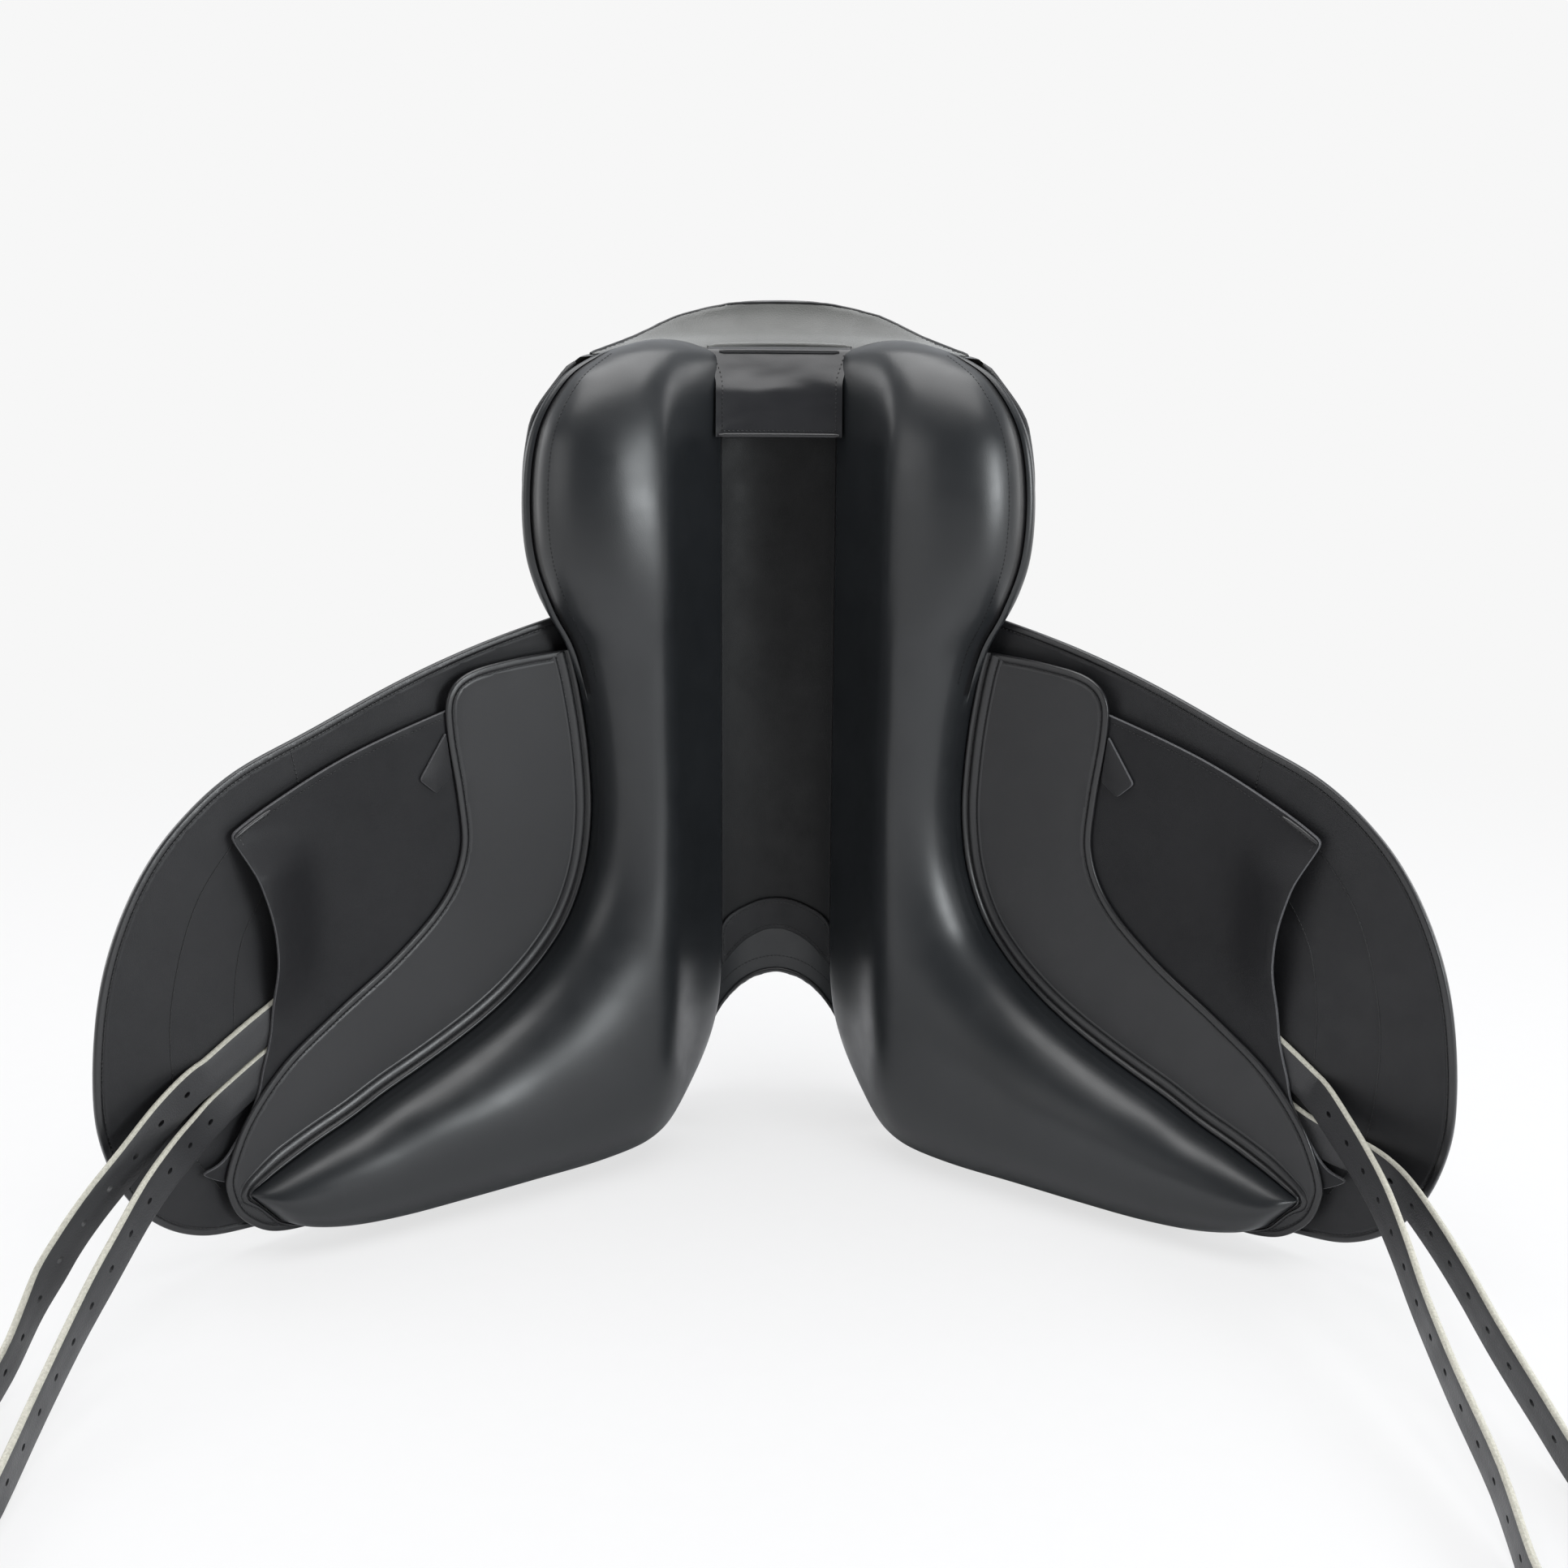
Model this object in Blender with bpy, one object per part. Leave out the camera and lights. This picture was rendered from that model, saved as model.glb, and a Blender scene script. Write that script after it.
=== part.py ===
"""Icelandic riding saddle standing on its nose.

Metres, +Z up. The pommel is on the floor and the cantle on top; the underside with the panels
looks along -Y. The rider's right is +X. The origin is on the floor, on the saddle's centre plane.
"""
import bpy
import bmesh
from math import asin, cos, pi, radians, sin
from mathutils import Matrix, Vector

# Clearances
GAP = 0.0004                   # between two pieces that touch
CUT = 0.0100                   # how far a cutter runs past what it cuts

# How far the flaps' root lies behind the origin
ROOT_BEHIND = 0.2030

# The saddle's back line, seen from the nose: an arch over the gullet, a straight slope on each
# side down to the flap's root, and the flap, which bends down a little more
GULLET_HALF = 0.0450
SLOPE = radians(33.0)
SLOPE_RUN = 0.0610             # across, from the arch to the flap's root
FLAP_BEND = 0.5400             # in radians for each metre
STRIP = 0.0300                 # a bent sheet is made of flat strips of this width
ARCH_STRIP = 0.0100            # and of this width where it bends round the gullet's arch

# Leather and web
FLAP_THICK = 0.0042
GUARD_THICK = 0.0030
SWEAT_THICK = 0.0032
SKIRT_THICK = 0.0034
LINING_THICK = 0.0024
COVER_THICK = 0.0026
TAB_THICK = 0.0024
WEB_THICK = 0.0020

# Girth straps
BILLET_THICK = 0.0042
BILLET_WIDE = 0.0240

# Heights of the layers over the back line; the horse is at the low side
FLAP_LOW = 0.0
BILLET_LOW = FLAP_LOW - GAP - BILLET_THICK
GUARD_LOW = BILLET_LOW - GAP - GUARD_THICK
SWEAT_LOW = GUARD_LOW - GAP - SWEAT_THICK
PANEL_BACK = SWEAT_LOW - GAP
PANEL_BACK_TREE = -0.0040      # back of a panel where it lies under the tree
HEAD_UNDER = PANEL_BACK_TREE + GAP
TREE_LOW = FLAP_LOW + FLAP_THICK + GAP
TREE_THICK = 0.0100
TREE_TOP = TREE_LOW + TREE_THICK
WEB_LOW = TREE_TOP + GAP
CROSS_WEB_LOW = WEB_LOW + WEB_THICK + GAP
FOAM_LOW = CROSS_WEB_LOW + WEB_THICK + GAP
SKIRT_LOW = 0.0226
SEAT_REST = 0.0018             # from the skirt up to the outer corner of the seat's edge
SEAT_SIDE_LOW = SKIRT_LOW + SKIRT_THICK + SEAT_REST

# Hinge lines of the flaps and the skirts, along the leather from the flap's root; each lies on
# the side that the leather folds to
FLAP_HINGE = 0.0450
SKIRT_HINGE = 0.0005

# Panels
PANEL_INNER = 0.0425           # from the centre plane to the wall of the gullet channel

# Cut-back head
ARCH_HALF = 0.0660
ARCH_HIGH = 0.1080
ARCH_BEFORE = 0.1000           # how far its cutter reaches from the flaps' root to each side
ARCH_BEHIND = 0.2000
HEAD_HIGH = 0.1500
CANTLE_LOW = 0.5750


def seat_height(share):
    """Height at a share of the seat's length: 0 at the head and 1 at the cantle."""
    return HEAD_HIGH + share * (CANTLE_LOW - HEAD_HIGH)


def arc_point(s, t):
    """X and Y at s along the back line from the flap's root, and t over it."""
    radius = GULLET_HALF / sin(SLOPE)
    run = SLOPE_RUN / cos(SLOPE)
    root_x = GULLET_HALF + SLOPE_RUN
    if s >= 0.0:
        angle = SLOPE + FLAP_BEND * s
        x = root_x + (sin(angle) - sin(SLOPE)) / FLAP_BEND
        y = -(cos(SLOPE) - cos(angle)) / FLAP_BEND
    elif s >= -run:
        angle = SLOPE
        x = root_x + s * cos(SLOPE)
        y = -s * sin(SLOPE)
    else:
        angle = SLOPE + (s + run) / radius
        x = radius * sin(angle)
        y = run * sin(SLOPE) + radius * (cos(angle) - cos(SLOPE))
    return x + t * sin(angle), y + t * cos(angle)


MIDDLE = -(SLOPE_RUN / cos(SLOPE) + GULLET_HALF * SLOPE / sin(SLOPE))   # s on the centre plane


def s_of_x(x):
    """s where the back line is at x from the centre plane, outside the arch."""
    root_x = GULLET_HALF + SLOPE_RUN
    if x <= root_x:
        return (x - root_x) / cos(SLOPE)
    return (asin(sin(SLOPE) + FLAP_BEND * (x - root_x)) - SLOPE) / FLAP_BEND


def place(side, s, t, z):
    """World point on one side of the saddle; side is -1 for the left and 1 for the right."""
    x, y = arc_point(s, t)
    return Vector((side * x, y + ROOT_BEHIND, z))


def on_side(side):
    """The same as a function of s, t and z alone."""
    return lambda s, t, z: place(side, s, t, z)


def across(s, t, z):
    """World point of a piece that runs across the saddle; s is 0 on the centre plane."""
    side = -1 if s < 0 else 1
    return place(side, MIDDLE + abs(s), t, z)


def blend(low, high, value):
    """0 at low and 1 at high, with a smooth step between them."""
    share = min(max((value - low) / (high - low), 0.0), 1.0)
    return share * share * (3.0 - 2.0 * share)


def mix(a, b, share):
    return a + (b - a) * share


def curve_through(points, steps=3):
    """Points of a smooth curve through the given ones, with steps between each pair."""
    result = []
    last = len(points) - 1
    for i in range(last):
        p0 = points[max(i - 1, 0)]
        p1, p2 = points[i], points[i + 1]
        p3 = points[min(i + 2, last)]
        for k in range(steps):
            u = k / steps
            result.append(tuple(
                0.5 * (2 * b + (c - a) * u + (2 * a - 5 * b + 4 * c - d) * u * u
                       + (3 * b - a - 3 * c + d) * u ** 3)
                for a, b, c, d in zip(p0, p1, p2, p3)))
    result.append(tuple(points[last]))
    return result


def closed_outline(*runs, steps=3):
    """One closed outline from smooth runs that meet in corners."""
    result = []
    for run in runs:
        for point in curve_through(run, steps):
            if not result or (Vector(point) - Vector(result[-1])).length > 1e-5:
                result.append(point)
    if (Vector(result[0]) - Vector(result[-1])).length < 1e-5:
        result.pop()
    return result


FINISHES = {
    "panel_leather": ((0.030, 0.032, 0.036), 0.36, 0.0),
    "flap_leather": ((0.033, 0.033, 0.036), 0.55, 0.0),
    "seat_leather": ((0.040, 0.040, 0.042), 0.45, 0.0),
    "lining_leather": ((0.020, 0.021, 0.024), 0.45, 0.0),
    "billet_leather": ((0.045, 0.045, 0.048), 0.50, 0.0),
    "web": ((0.550, 0.520, 0.430), 0.90, 0.0),
    "foam": ((0.700, 0.660, 0.500), 0.95, 0.0),
    "laminated_wood": ((0.420, 0.280, 0.160), 0.60, 0.0),
    "steel": ((0.480, 0.480, 0.490), 0.35, 1.0),
}


def make_object(name, finish, bm, origin=None):
    """An object from a bmesh in world coordinates, with its own material and its origin."""
    origin = origin or Vector((0.0, 0.0, 0.0))
    bmesh.ops.remove_doubles(bm, verts=bm.verts, dist=1e-6)
    bmesh.ops.recalc_face_normals(bm, faces=bm.faces)
    bmesh.ops.translate(bm, vec=-origin, verts=bm.verts)
    mesh = bpy.data.meshes.new(name)
    bm.to_mesh(mesh)
    bm.free()
    mesh.shade_smooth()
    mesh.set_sharp_from_angle(angle=radians(40.0))
    colour, roughness, metallic = FINISHES[finish]
    material = bpy.data.materials.new(name)
    material.use_nodes = True
    shader = material.node_tree.nodes["Principled BSDF"]
    shader.inputs["Base Color"].default_value = (*colour, 1.0)
    shader.inputs["Roughness"].default_value = roughness
    shader.inputs["Metallic"].default_value = metallic
    mesh.materials.append(material)
    thing = bpy.data.objects.new(name, mesh)
    thing.location = origin
    bpy.context.scene.collection.objects.link(thing)
    return thing


def make_cutter(name, bm):
    """A closed shape that is only there to cut another piece."""
    bmesh.ops.recalc_face_normals(bm, faces=bm.faces)
    mesh = bpy.data.meshes.new(name)
    bm.to_mesh(mesh)
    bm.free()
    thing = bpy.data.objects.new(name, mesh)
    thing.hide_render = True
    thing.display_type = "WIRE"
    bpy.context.scene.collection.objects.link(thing)
    return thing


def cut(thing, cutter, operation="DIFFERENCE"):
    modifier = thing.modifiers.new(cutter.name, "BOOLEAN")
    modifier.operation = operation
    modifier.solver = "EXACT"
    modifier.object = cutter


def sheet_mesh(outline, low, thick, point, strip=STRIP, rows=()):
    """A bent sheet from its flat outline; low may be a number or a function of s and z.

    rows are heights at which the sheet is divided as well.
    """
    flat = bmesh.new()
    flat.faces.new([flat.verts.new((s, z, 0.0)) for s, z in outline])
    least = min(s for s, z in outline)
    most = max(s for s, z in outline)
    for k in range(int(least / strip) - 1, int(most / strip) + 2):
        if least < k * strip < most:
            bmesh.ops.bisect_plane(flat, geom=flat.verts[:] + flat.edges[:] + flat.faces[:],
                                   dist=1e-6, plane_co=(k * strip, 0.0, 0.0),
                                   plane_no=(1.0, 0.0, 0.0))
    for row in rows:
        bmesh.ops.bisect_plane(flat, geom=flat.verts[:] + flat.edges[:] + flat.faces[:],
                               dist=1e-6, plane_co=(0.0, row, 0.0), plane_no=(0.0, 1.0, 0.0))
    level = low if callable(low) else (lambda s, z: low)
    bm = bmesh.new()
    under, over = {}, {}
    for vert in flat.verts:
        s, z = vert.co.x, vert.co.y
        under[vert] = bm.verts.new(point(s, level(s, z), z))
        over[vert] = bm.verts.new(point(s, level(s, z) + thick, z))
    for face in flat.faces:
        bm.faces.new([under[v] for v in reversed(face.verts)])
        bm.faces.new([over[v] for v in face.verts])
    for edge in flat.edges:
        if edge.is_boundary:
            a, b = edge.verts
            bm.faces.new([under[a], under[b], over[b], over[a]])
    flat.free()
    return bm


def loft_mesh(rings, closed=False):
    """Triangles from ring to ring, with an end face on the first and last unless it is closed."""
    bm = bmesh.new()
    rows = [[bm.verts.new(p) for p in ring] for ring in rings]
    count = len(rows[0])
    pairs = list(zip(rows, rows[1:]))
    if closed:
        pairs.append((rows[-1], rows[0]))
    for a, b in pairs:
        for i in range(count):
            j = (i + 1) % count
            bm.faces.new([a[i], a[j], b[j]])
            bm.faces.new([a[i], b[j], b[i]])
    if not closed:
        bm.faces.new(rows[0][::-1])
        bm.faces.new(rows[-1])
    return bm


def cylinder_mesh(start, end, radius, sides=12):
    """A round bar between two points."""
    axis = end - start
    bm = bmesh.new()
    turn = axis.to_track_quat("Z", "Y").to_matrix().to_4x4()
    bmesh.ops.create_cone(bm, cap_ends=True, segments=sides, radius1=radius, radius2=radius,
                          depth=axis.length,
                          matrix=Matrix.Translation((start + end) / 2) @ turn)
    return bm


def side_name(side):
    return "left" if side < 0 else "right"


# Outlines of the flat leather, as (s along the leather from the flap's root, height)
FLAP_OUTER = [(0.045, 0.4010), (0.060, 0.3990), (0.117, 0.3860), (0.174, 0.3690),
              (0.240, 0.3450), (0.296, 0.3250), (0.335, 0.2990), (0.362, 0.2700),
              (0.383, 0.2330), (0.396, 0.1930), (0.403, 0.1450), (0.402, 0.1070),
              (0.390, 0.0680), (0.368, 0.0380), (0.338, 0.0200), (0.300, 0.0140)]
FLAP_FRONT = [(0.300, 0.0140), (0.220, 0.0180), (0.120, 0.0380), (0.045, 0.0700)]
FLAP_ROOT = [(FLAP_HINGE - GAP, 0.4010), (-0.031, 0.4030), (-0.031, 0.1510), (0.002, 0.1510),
             (0.002, 0.0880), (FLAP_HINGE - GAP, 0.0700)]

GUARD_TOP = [(0.052, 0.3620), (0.100, 0.3560), (0.147, 0.3460), (0.219, 0.3260),
             (0.276, 0.3030), (0.305, 0.2880)]
GUARD_FREE = [(0.305, 0.2880), (0.292, 0.2540), (0.284, 0.2200), (0.284, 0.1800),
              (0.285, 0.1560), (0.289, 0.1390), (0.2940, 0.1240), (0.2970, 0.1120),
              (0.305, 0.0970), (0.316, 0.0820), (0.327, 0.0710), (0.342, 0.0680)]
GUARD_FRONT = [(0.342, 0.0680), (0.329, 0.0590), (0.315, 0.0530), (0.300, 0.0500),
               (0.220, 0.0500), (0.120, 0.0740), (0.052, 0.1200)]

SWEAT_TOP = [(0.030, 0.3790), (0.057, 0.3780), (0.100, 0.3755), (0.132, 0.3700),
             (0.147, 0.3560), (0.148, 0.3300), (0.142, 0.2850), (0.141, 0.2480),
             (0.157, 0.2150), (0.194, 0.1830), (0.241, 0.1540), (0.280, 0.1280),
             (0.308, 0.0980), (0.322, 0.0720), (0.327, 0.0560)]
SWEAT_FRONT = [(0.327, 0.0560), (0.322, 0.0370), (0.311, 0.0230), (0.293, 0.0120),
               (0.260, 0.0080), (0.200, 0.0100), (0.120, 0.0240), (0.060, 0.0620),
               (0.030, 0.1000)]

SKIRT_TUCK = 0.0025            # how far a skirt reaches in under the seat's edge
SKIRT_OUTER = [(SKIRT_HINGE - SKIRT_TUCK, seat_height(0.4894)), (0.040, seat_height(0.4847)),
               (0.078, seat_height(0.4141)), (0.094, seat_height(0.3059)),
               (0.092, seat_height(0.1647)), (0.078, seat_height(0.0659)),
               (0.040, seat_height(0.0188)),
               (SKIRT_HINGE - SKIRT_TUCK, seat_height(0.0071))]

# A rib of a panel runs from the gullet or the front edge to the welt: inner s and height, outer
# s and height, and how far it swells
PANEL_RIBS = [
    (0.058, 0.5860, 0.112, 0.5860, 0.012),
    (0.046, 0.5780, 0.128, 0.5770, 0.030),
    (PANEL_INNER, 0.5600, 0.148, 0.5600, 0.043),
    (PANEL_INNER, 0.5300, 0.166, 0.5300, 0.053),
    (PANEL_INNER, 0.4900, 0.173, 0.4900, 0.058),
    (PANEL_INNER, 0.4450, 0.172, 0.4450, 0.058),
    (PANEL_INNER, 0.4050, 0.162, 0.4080, 0.056),
    (PANEL_INNER, 0.3700, 0.150, 0.3790, 0.053),
    (PANEL_INNER, 0.3300, 0.143, 0.3400, 0.051),
    (PANEL_INNER, 0.2850, 0.139, 0.3000, 0.050),
    (PANEL_INNER, 0.2300, 0.138, 0.2600, 0.050),
    (PANEL_INNER, 0.1700, 0.143, 0.2200, 0.052),
    (PANEL_INNER + 0.0010, 0.1150, 0.155, 0.1850, 0.055),
    (0.0490, 0.0750, 0.172, 0.1590, 0.058),
    (0.0600, 0.0380, 0.192, 0.1380, 0.060),
    (0.0800, 0.0090, 0.211, 0.1230, 0.060),
    (0.1080, 0.0000, 0.230, 0.1110, 0.058),
    (0.1450, 0.0000, 0.251, 0.0995, 0.055),
    (0.1900, 0.0000, 0.273, 0.0885, 0.050),
    (0.2350, 0.0000, 0.294, 0.0765, 0.044),
    (0.2700, 0.0010, 0.313, 0.0675, 0.038),
    (0.3000, 0.0050, 0.331, 0.0580, 0.031),
    (0.3220, 0.0120, 0.345, 0.0500, 0.023),
    (0.3360, 0.0200, 0.352, 0.0460, 0.012),
]
RIB_STEPS = 9                  # points over a rib's swelling


def panel_back(s, z):
    """Height of a panel's back over the back line: lower where flap and guard lie behind it."""
    behind_flap = blend(-0.045, 0.005, s) * (1.0 - blend(0.392, 0.420, z))
    return mix(PANEL_BACK_TREE, PANEL_BACK, behind_flap)


def panel(side):
    """A stuffed panel: a crowned cushion from the rear lobe down the gullet and out to the toe."""
    rings = []
    for x_in, z_in, x_out, z_out, swell in PANEL_RIBS:
        s_in, s_out = s_of_x(x_in), s_of_x(x_out)
        back, front = [], []
        for k in range(RIB_STEPS + 1):
            share = 0.5 - 0.5 * cos(pi * k / RIB_STEPS)
            s, z = mix(s_in, s_out, share), mix(z_in, z_out, share)
            base = place(side, s, panel_back(s, z), z)
            lean = SLOPE * blend(-0.075, 0.030, s) + FLAP_BEND * max(s, 0.0)
            crown = (1.0 - abs(2.0 * share - 1.0) ** 2.6) ** 0.5
            edge = mix(0.42, 0.16, blend(0.2, 1.0, share))
            height = swell * (edge + (1.0 - edge) * crown)
            front.append(base + Vector((-side * sin(lean), -cos(lean), 0.0)) * height)
            back.append(base)
        rings.append(front + back[::-1])
    bm = loft_mesh(rings)
    for vert in bm.verts:
        vert.co.z = max(vert.co.z, 0.0)
    make_object("panel_" + side_name(side), "panel_leather", bm)


def flap_hinge(side):
    return place(side, FLAP_HINGE, FLAP_LOW + FLAP_THICK,
                 (FLAP_OUTER[0][1] + FLAP_FRONT[-1][1]) / 2)


def flap(side):
    """The outer flap, which lifts about a line just outside the stirrup bar, and its root."""
    name = side_name(side)
    outline = closed_outline(FLAP_OUTER, FLAP_FRONT)
    make_object("outer_flap_" + name, "flap_leather",
                sheet_mesh(outline, FLAP_LOW, FLAP_THICK, on_side(side)), flap_hinge(side))
    make_object("flap_root_" + name, "flap_leather",
                sheet_mesh(FLAP_ROOT, FLAP_LOW, FLAP_THICK, on_side(side)))


KNEE_BLOCK = [(0.250, 0.2900), (0.300, 0.2600), (0.330, 0.2100), (0.345, 0.1500),
              (0.338, 0.0900), (0.310, 0.0560)]
KNEE_BLOCK_WIDE = 0.0500
KNEE_BLOCK_HIGH = 0.0300


def knee_block(side):
    """The padded knee roll on the outer face of the flap, along its front edge."""
    path = curve_through(KNEE_BLOCK, 3)
    rings = []
    last = len(path) - 1
    for i, (s, z) in enumerate(path):
        ahead = Vector(path[min(i + 1, last)]) - Vector(path[max(i - 1, 0)])
        ahead.normalize()
        normal = Vector((-ahead.y, ahead.x))
        share = sin(pi * (i + 0.6) / (last + 1.2))
        half = KNEE_BLOCK_WIDE / 2 * mix(0.35, 1.0, share ** 0.6)
        high = KNEE_BLOCK_HIGH * mix(0.25, 1.0, share)
        ring = []
        for k in range(9):
            angle = pi * k / 8
            offset = half * cos(angle)
            lift = FLAP_LOW + FLAP_THICK + GAP + high * sin(angle) ** 0.8
            ring.append(place(side, s + normal.x * offset, lift, z + normal.y * offset))
        rings.append(ring)
    make_object("knee_block_" + side_name(side), "flap_leather", loft_mesh(rings),
                flap_hinge(side))


GUARD_RISE = 0.0095            # how far the free edge of a guard stands off the flap
GUARD_ROWS = (0.1550, 0.1800, 0.2050, 0.2300, 0.2550, 0.2900)   # from where it lies flat again


def billet_guard(side):
    """The leather between the girth straps and the horse, with its free edge standing off."""
    outline = closed_outline(GUARD_TOP, GUARD_FREE, GUARD_FRONT)

    def low(s, z):
        above = blend(GUARD_ROWS[0], GUARD_ROWS[2], z)
        below = 1.0 - blend(GUARD_ROWS[4], GUARD_ROWS[5], z)
        off = blend(0.240, 0.290, s) * above * below
        return GUARD_LOW - GUARD_RISE * off

    bm = sheet_mesh(outline, low, GUARD_THICK, on_side(side), rows=GUARD_ROWS)
    make_object("billet_guard_" + side_name(side), "flap_leather", bm)


def sweat_flap(side):
    """The flap on the horse's side, which the panel is sewn to."""
    outline = closed_outline(SWEAT_TOP, SWEAT_FRONT)
    bm = sheet_mesh(outline, SWEAT_LOW, SWEAT_THICK, on_side(side))
    make_object("sweat_flap_" + side_name(side), "flap_leather", bm)


def skirt(side):
    """The small flap over the stirrup bar."""
    outline = closed_outline(SKIRT_OUTER, steps=2)
    hinge = place(side, SKIRT_HINGE, SKIRT_LOW + SKIRT_THICK,
                  (SKIRT_OUTER[0][1] + SKIRT_OUTER[-1][1]) / 2)
    bm = sheet_mesh(outline, SKIRT_LOW, SKIRT_THICK, on_side(side))
    make_object("skirt_" + side_name(side), "seat_leather", bm, hinge)


TAB_OUTLINE = [(0.1492, 0.3320), (0.1700, 0.3020), (0.1580, 0.2910), (0.1455, 0.3000)]


def keeper_tab(side):
    """The pointed leather tab on the guard, at the edge of the sweat flap."""
    low = GUARD_LOW - GAP - TAB_THICK
    (s0, z0), (s1, z1) = TAB_OUTLINE[0], TAB_OUTLINE[-1]
    hinge = place(side, (s0 + s1) / 2, low, (z0 + z1) / 2)
    bm = sheet_mesh(TAB_OUTLINE, low, TAB_THICK, on_side(side))
    make_object("keeper_tab_" + side_name(side), "flap_leather", bm, hinge)


# Girth straps. Each is sewn in between flap and guard as far as its hinge line (s and height of
# its middle line), and hangs free from there (world points of its middle line).
STRAP_ROOTS = {
    (-1, "rear"): [(0.0345, 0.2145), (0.150, 0.1960), (0.235, 0.1775), (0.285, 0.1555),
                   (0.328, 0.1320)],
    (-1, "front"): [(0.0345, 0.1865), (0.150, 0.1680), (0.235, 0.1500), (0.280, 0.1300),
                    (0.316, 0.1105)],
    (1, "rear"): [(0.0345, 0.2142), (0.150, 0.1900), (0.235, 0.1635), (0.275, 0.1420),
                  (0.3085, 0.1215)],
    (1, "front"): [(0.0345, 0.1862), (0.150, 0.1620), (0.235, 0.1330), (0.262, 0.1165),
                   (0.2950, 0.0955), (0.3300, 0.0855)],
}
FLOOR = BILLET_WIDE / 2        # height of a strap's middle line where it stands on its edge
# Free straps: how far outwards and back each point is from where its strap comes out, and its
# height over the floor
STRAP_RUNS = {
    (-1, "rear"): [(0.0080, -0.0117, 0.1280), (0.0202, -0.0337, 0.1175), (0.0353, -0.0570, 0.0992),
                   (0.0513, -0.0812, 0.0805), (0.0638, -0.1032, 0.0620), (0.0748, -0.1232, 0.0400),
                   (0.0798, -0.1612, 0.0200), (0.0828, -0.2192, FLOOR), (0.0833, -0.2692, FLOOR),
                   (0.0838, -0.3192, FLOOR)],
    (-1, "front"): [(0.0068, -0.0103, 0.1052), (0.0130, -0.0263, 0.0995), (0.0192, -0.0533, 0.0948),
                    (0.0281, -0.0833, 0.0833), (0.0361, -0.1193, 0.0668), (0.0466, -0.1593, 0.0440),
                    (0.0516, -0.2143, 0.0250), (0.0516, -0.2783, FLOOR), (0.0496, -0.3223, FLOOR),
                    (0.0466, -0.3633, FLOOR)],
    (1, "rear"): [(0.0047, -0.0124, 0.1170), (0.0109, -0.0314, 0.1078), (0.0166, -0.0574, 0.0985),
                  (0.0211, -0.0904, 0.0880), (0.0236, -0.1244, 0.0745), (0.0256, -0.1624, 0.0575),
                  (0.0281, -0.2174, 0.0400), (0.0311, -0.2794, 0.0240), (0.0271, -0.3394, FLOOR),
                  (0.0261, -0.3691, FLOOR)],
    (1, "front"): [(0.0144, -0.0153, 0.0850), (0.0284, -0.0398, 0.0790), (0.0374, -0.0778, 0.0690),
                   (0.0444, -0.1178, 0.0570), (0.0514, -0.1568, 0.0420), (0.0614, -0.1988, 0.0250),
                   (0.0694, -0.2478, FLOOR), (0.0764, -0.2978, FLOOR), (0.0824, -0.3518, FLOOR)],
}
STRAP_POINT = 0.0160           # length of a strap's pointed end
STRAP_TIP = 0.3500             # share of the width that is left at the tip


def strap_root(side, where):
    """The part of a girth strap that is sewn in between the flap and the guard."""
    path = STRAP_ROOTS[side, where]
    left, right = [], []
    last = len(path) - 1
    for i, point in enumerate(path):
        ahead = Vector(path[min(i + 1, last)]) - Vector(path[max(i - 1, 0)])
        ahead.normalize()
        middle = Vector(point) - (ahead * GAP if i == last else Vector((0.0, 0.0)))
        offset = Vector((-ahead.y, ahead.x)) * (BILLET_WIDE / 2)
        left.append(tuple(middle + offset))
        right.append(tuple(middle - offset))
    bm = sheet_mesh(left + right[::-1], BILLET_LOW, BILLET_THICK, on_side(side))
    make_object("billet_root_" + where + "_" + side_name(side), "billet_leather", bm)


def strap_hinge(side, where):
    """Where a free strap begins: its middle, its width direction and its thickness direction."""
    (s0, z0), (s1, z1) = STRAP_ROOTS[side, where][-2:]
    ahead = Vector((s1 - s0, z1 - z0)).normalized()
    middle = place(side, s1, BILLET_LOW + BILLET_THICK / 2, z1)
    step = 0.5 * BILLET_WIDE
    above = place(side, s1 - ahead.y * step, BILLET_LOW + BILLET_THICK / 2, z1 + ahead.x * step)
    outward = place(side, s1, BILLET_LOW + BILLET_THICK, z1) - middle
    return middle, (above - middle).normalized(), outward.normalized()


def free_strap(side, where):
    """The free length of a girth strap: over the flap's front edge and along the floor."""
    middle, wide, outward = strap_hinge(side, where)
    run = [(middle.x + side * out, middle.y + back, z) for out, back, z in STRAP_RUNS[side, where]]
    path = [Vector(p) for p in curve_through([tuple(middle)] + run, steps=2)]
    tip = path[-1]
    path = [p for p in path if (p - tip).length > STRAP_POINT + BILLET_THICK]
    last = len(path)
    path += [tip + (path[-1] - tip).normalized() * STRAP_POINT, tip]
    face = outward
    rings = []
    for i, point in enumerate(path):
        ahead = (path[min(i + 1, last + 1)] - path[max(i - 1, 0)]).normalized()
        upright = blend(0.0, 0.75, i / last)
        up = wide.lerp(Vector((0.0, 0.0, 1.0)), upright)
        up = (up - ahead * up.dot(ahead)).normalized() if i else wide
        normal = ahead.cross(up) if i else outward
        face = normal if normal.dot(face) > 0.0 else -normal
        half = BILLET_WIDE / 2 * (STRAP_TIP if i > last else 1.0)
        thick = face * (BILLET_THICK / 2)
        rings.append([point + up * half + thick, point - up * half + thick,
                      point - up * half - thick, point + up * half - thick])
    bm = loft_mesh(rings)
    for vert in bm.verts:
        vert.co.z = max(vert.co.z, 0.0)
    make_object("billet_" + where + "_" + side_name(side), "billet_leather", bm,
                middle - outward * (BILLET_THICK / 2))


GIRTH_WEB = [(-0.044, 0.2320), (0.0296, 0.2290), (0.0296, 0.1740), (-0.044, 0.1760)]


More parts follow.
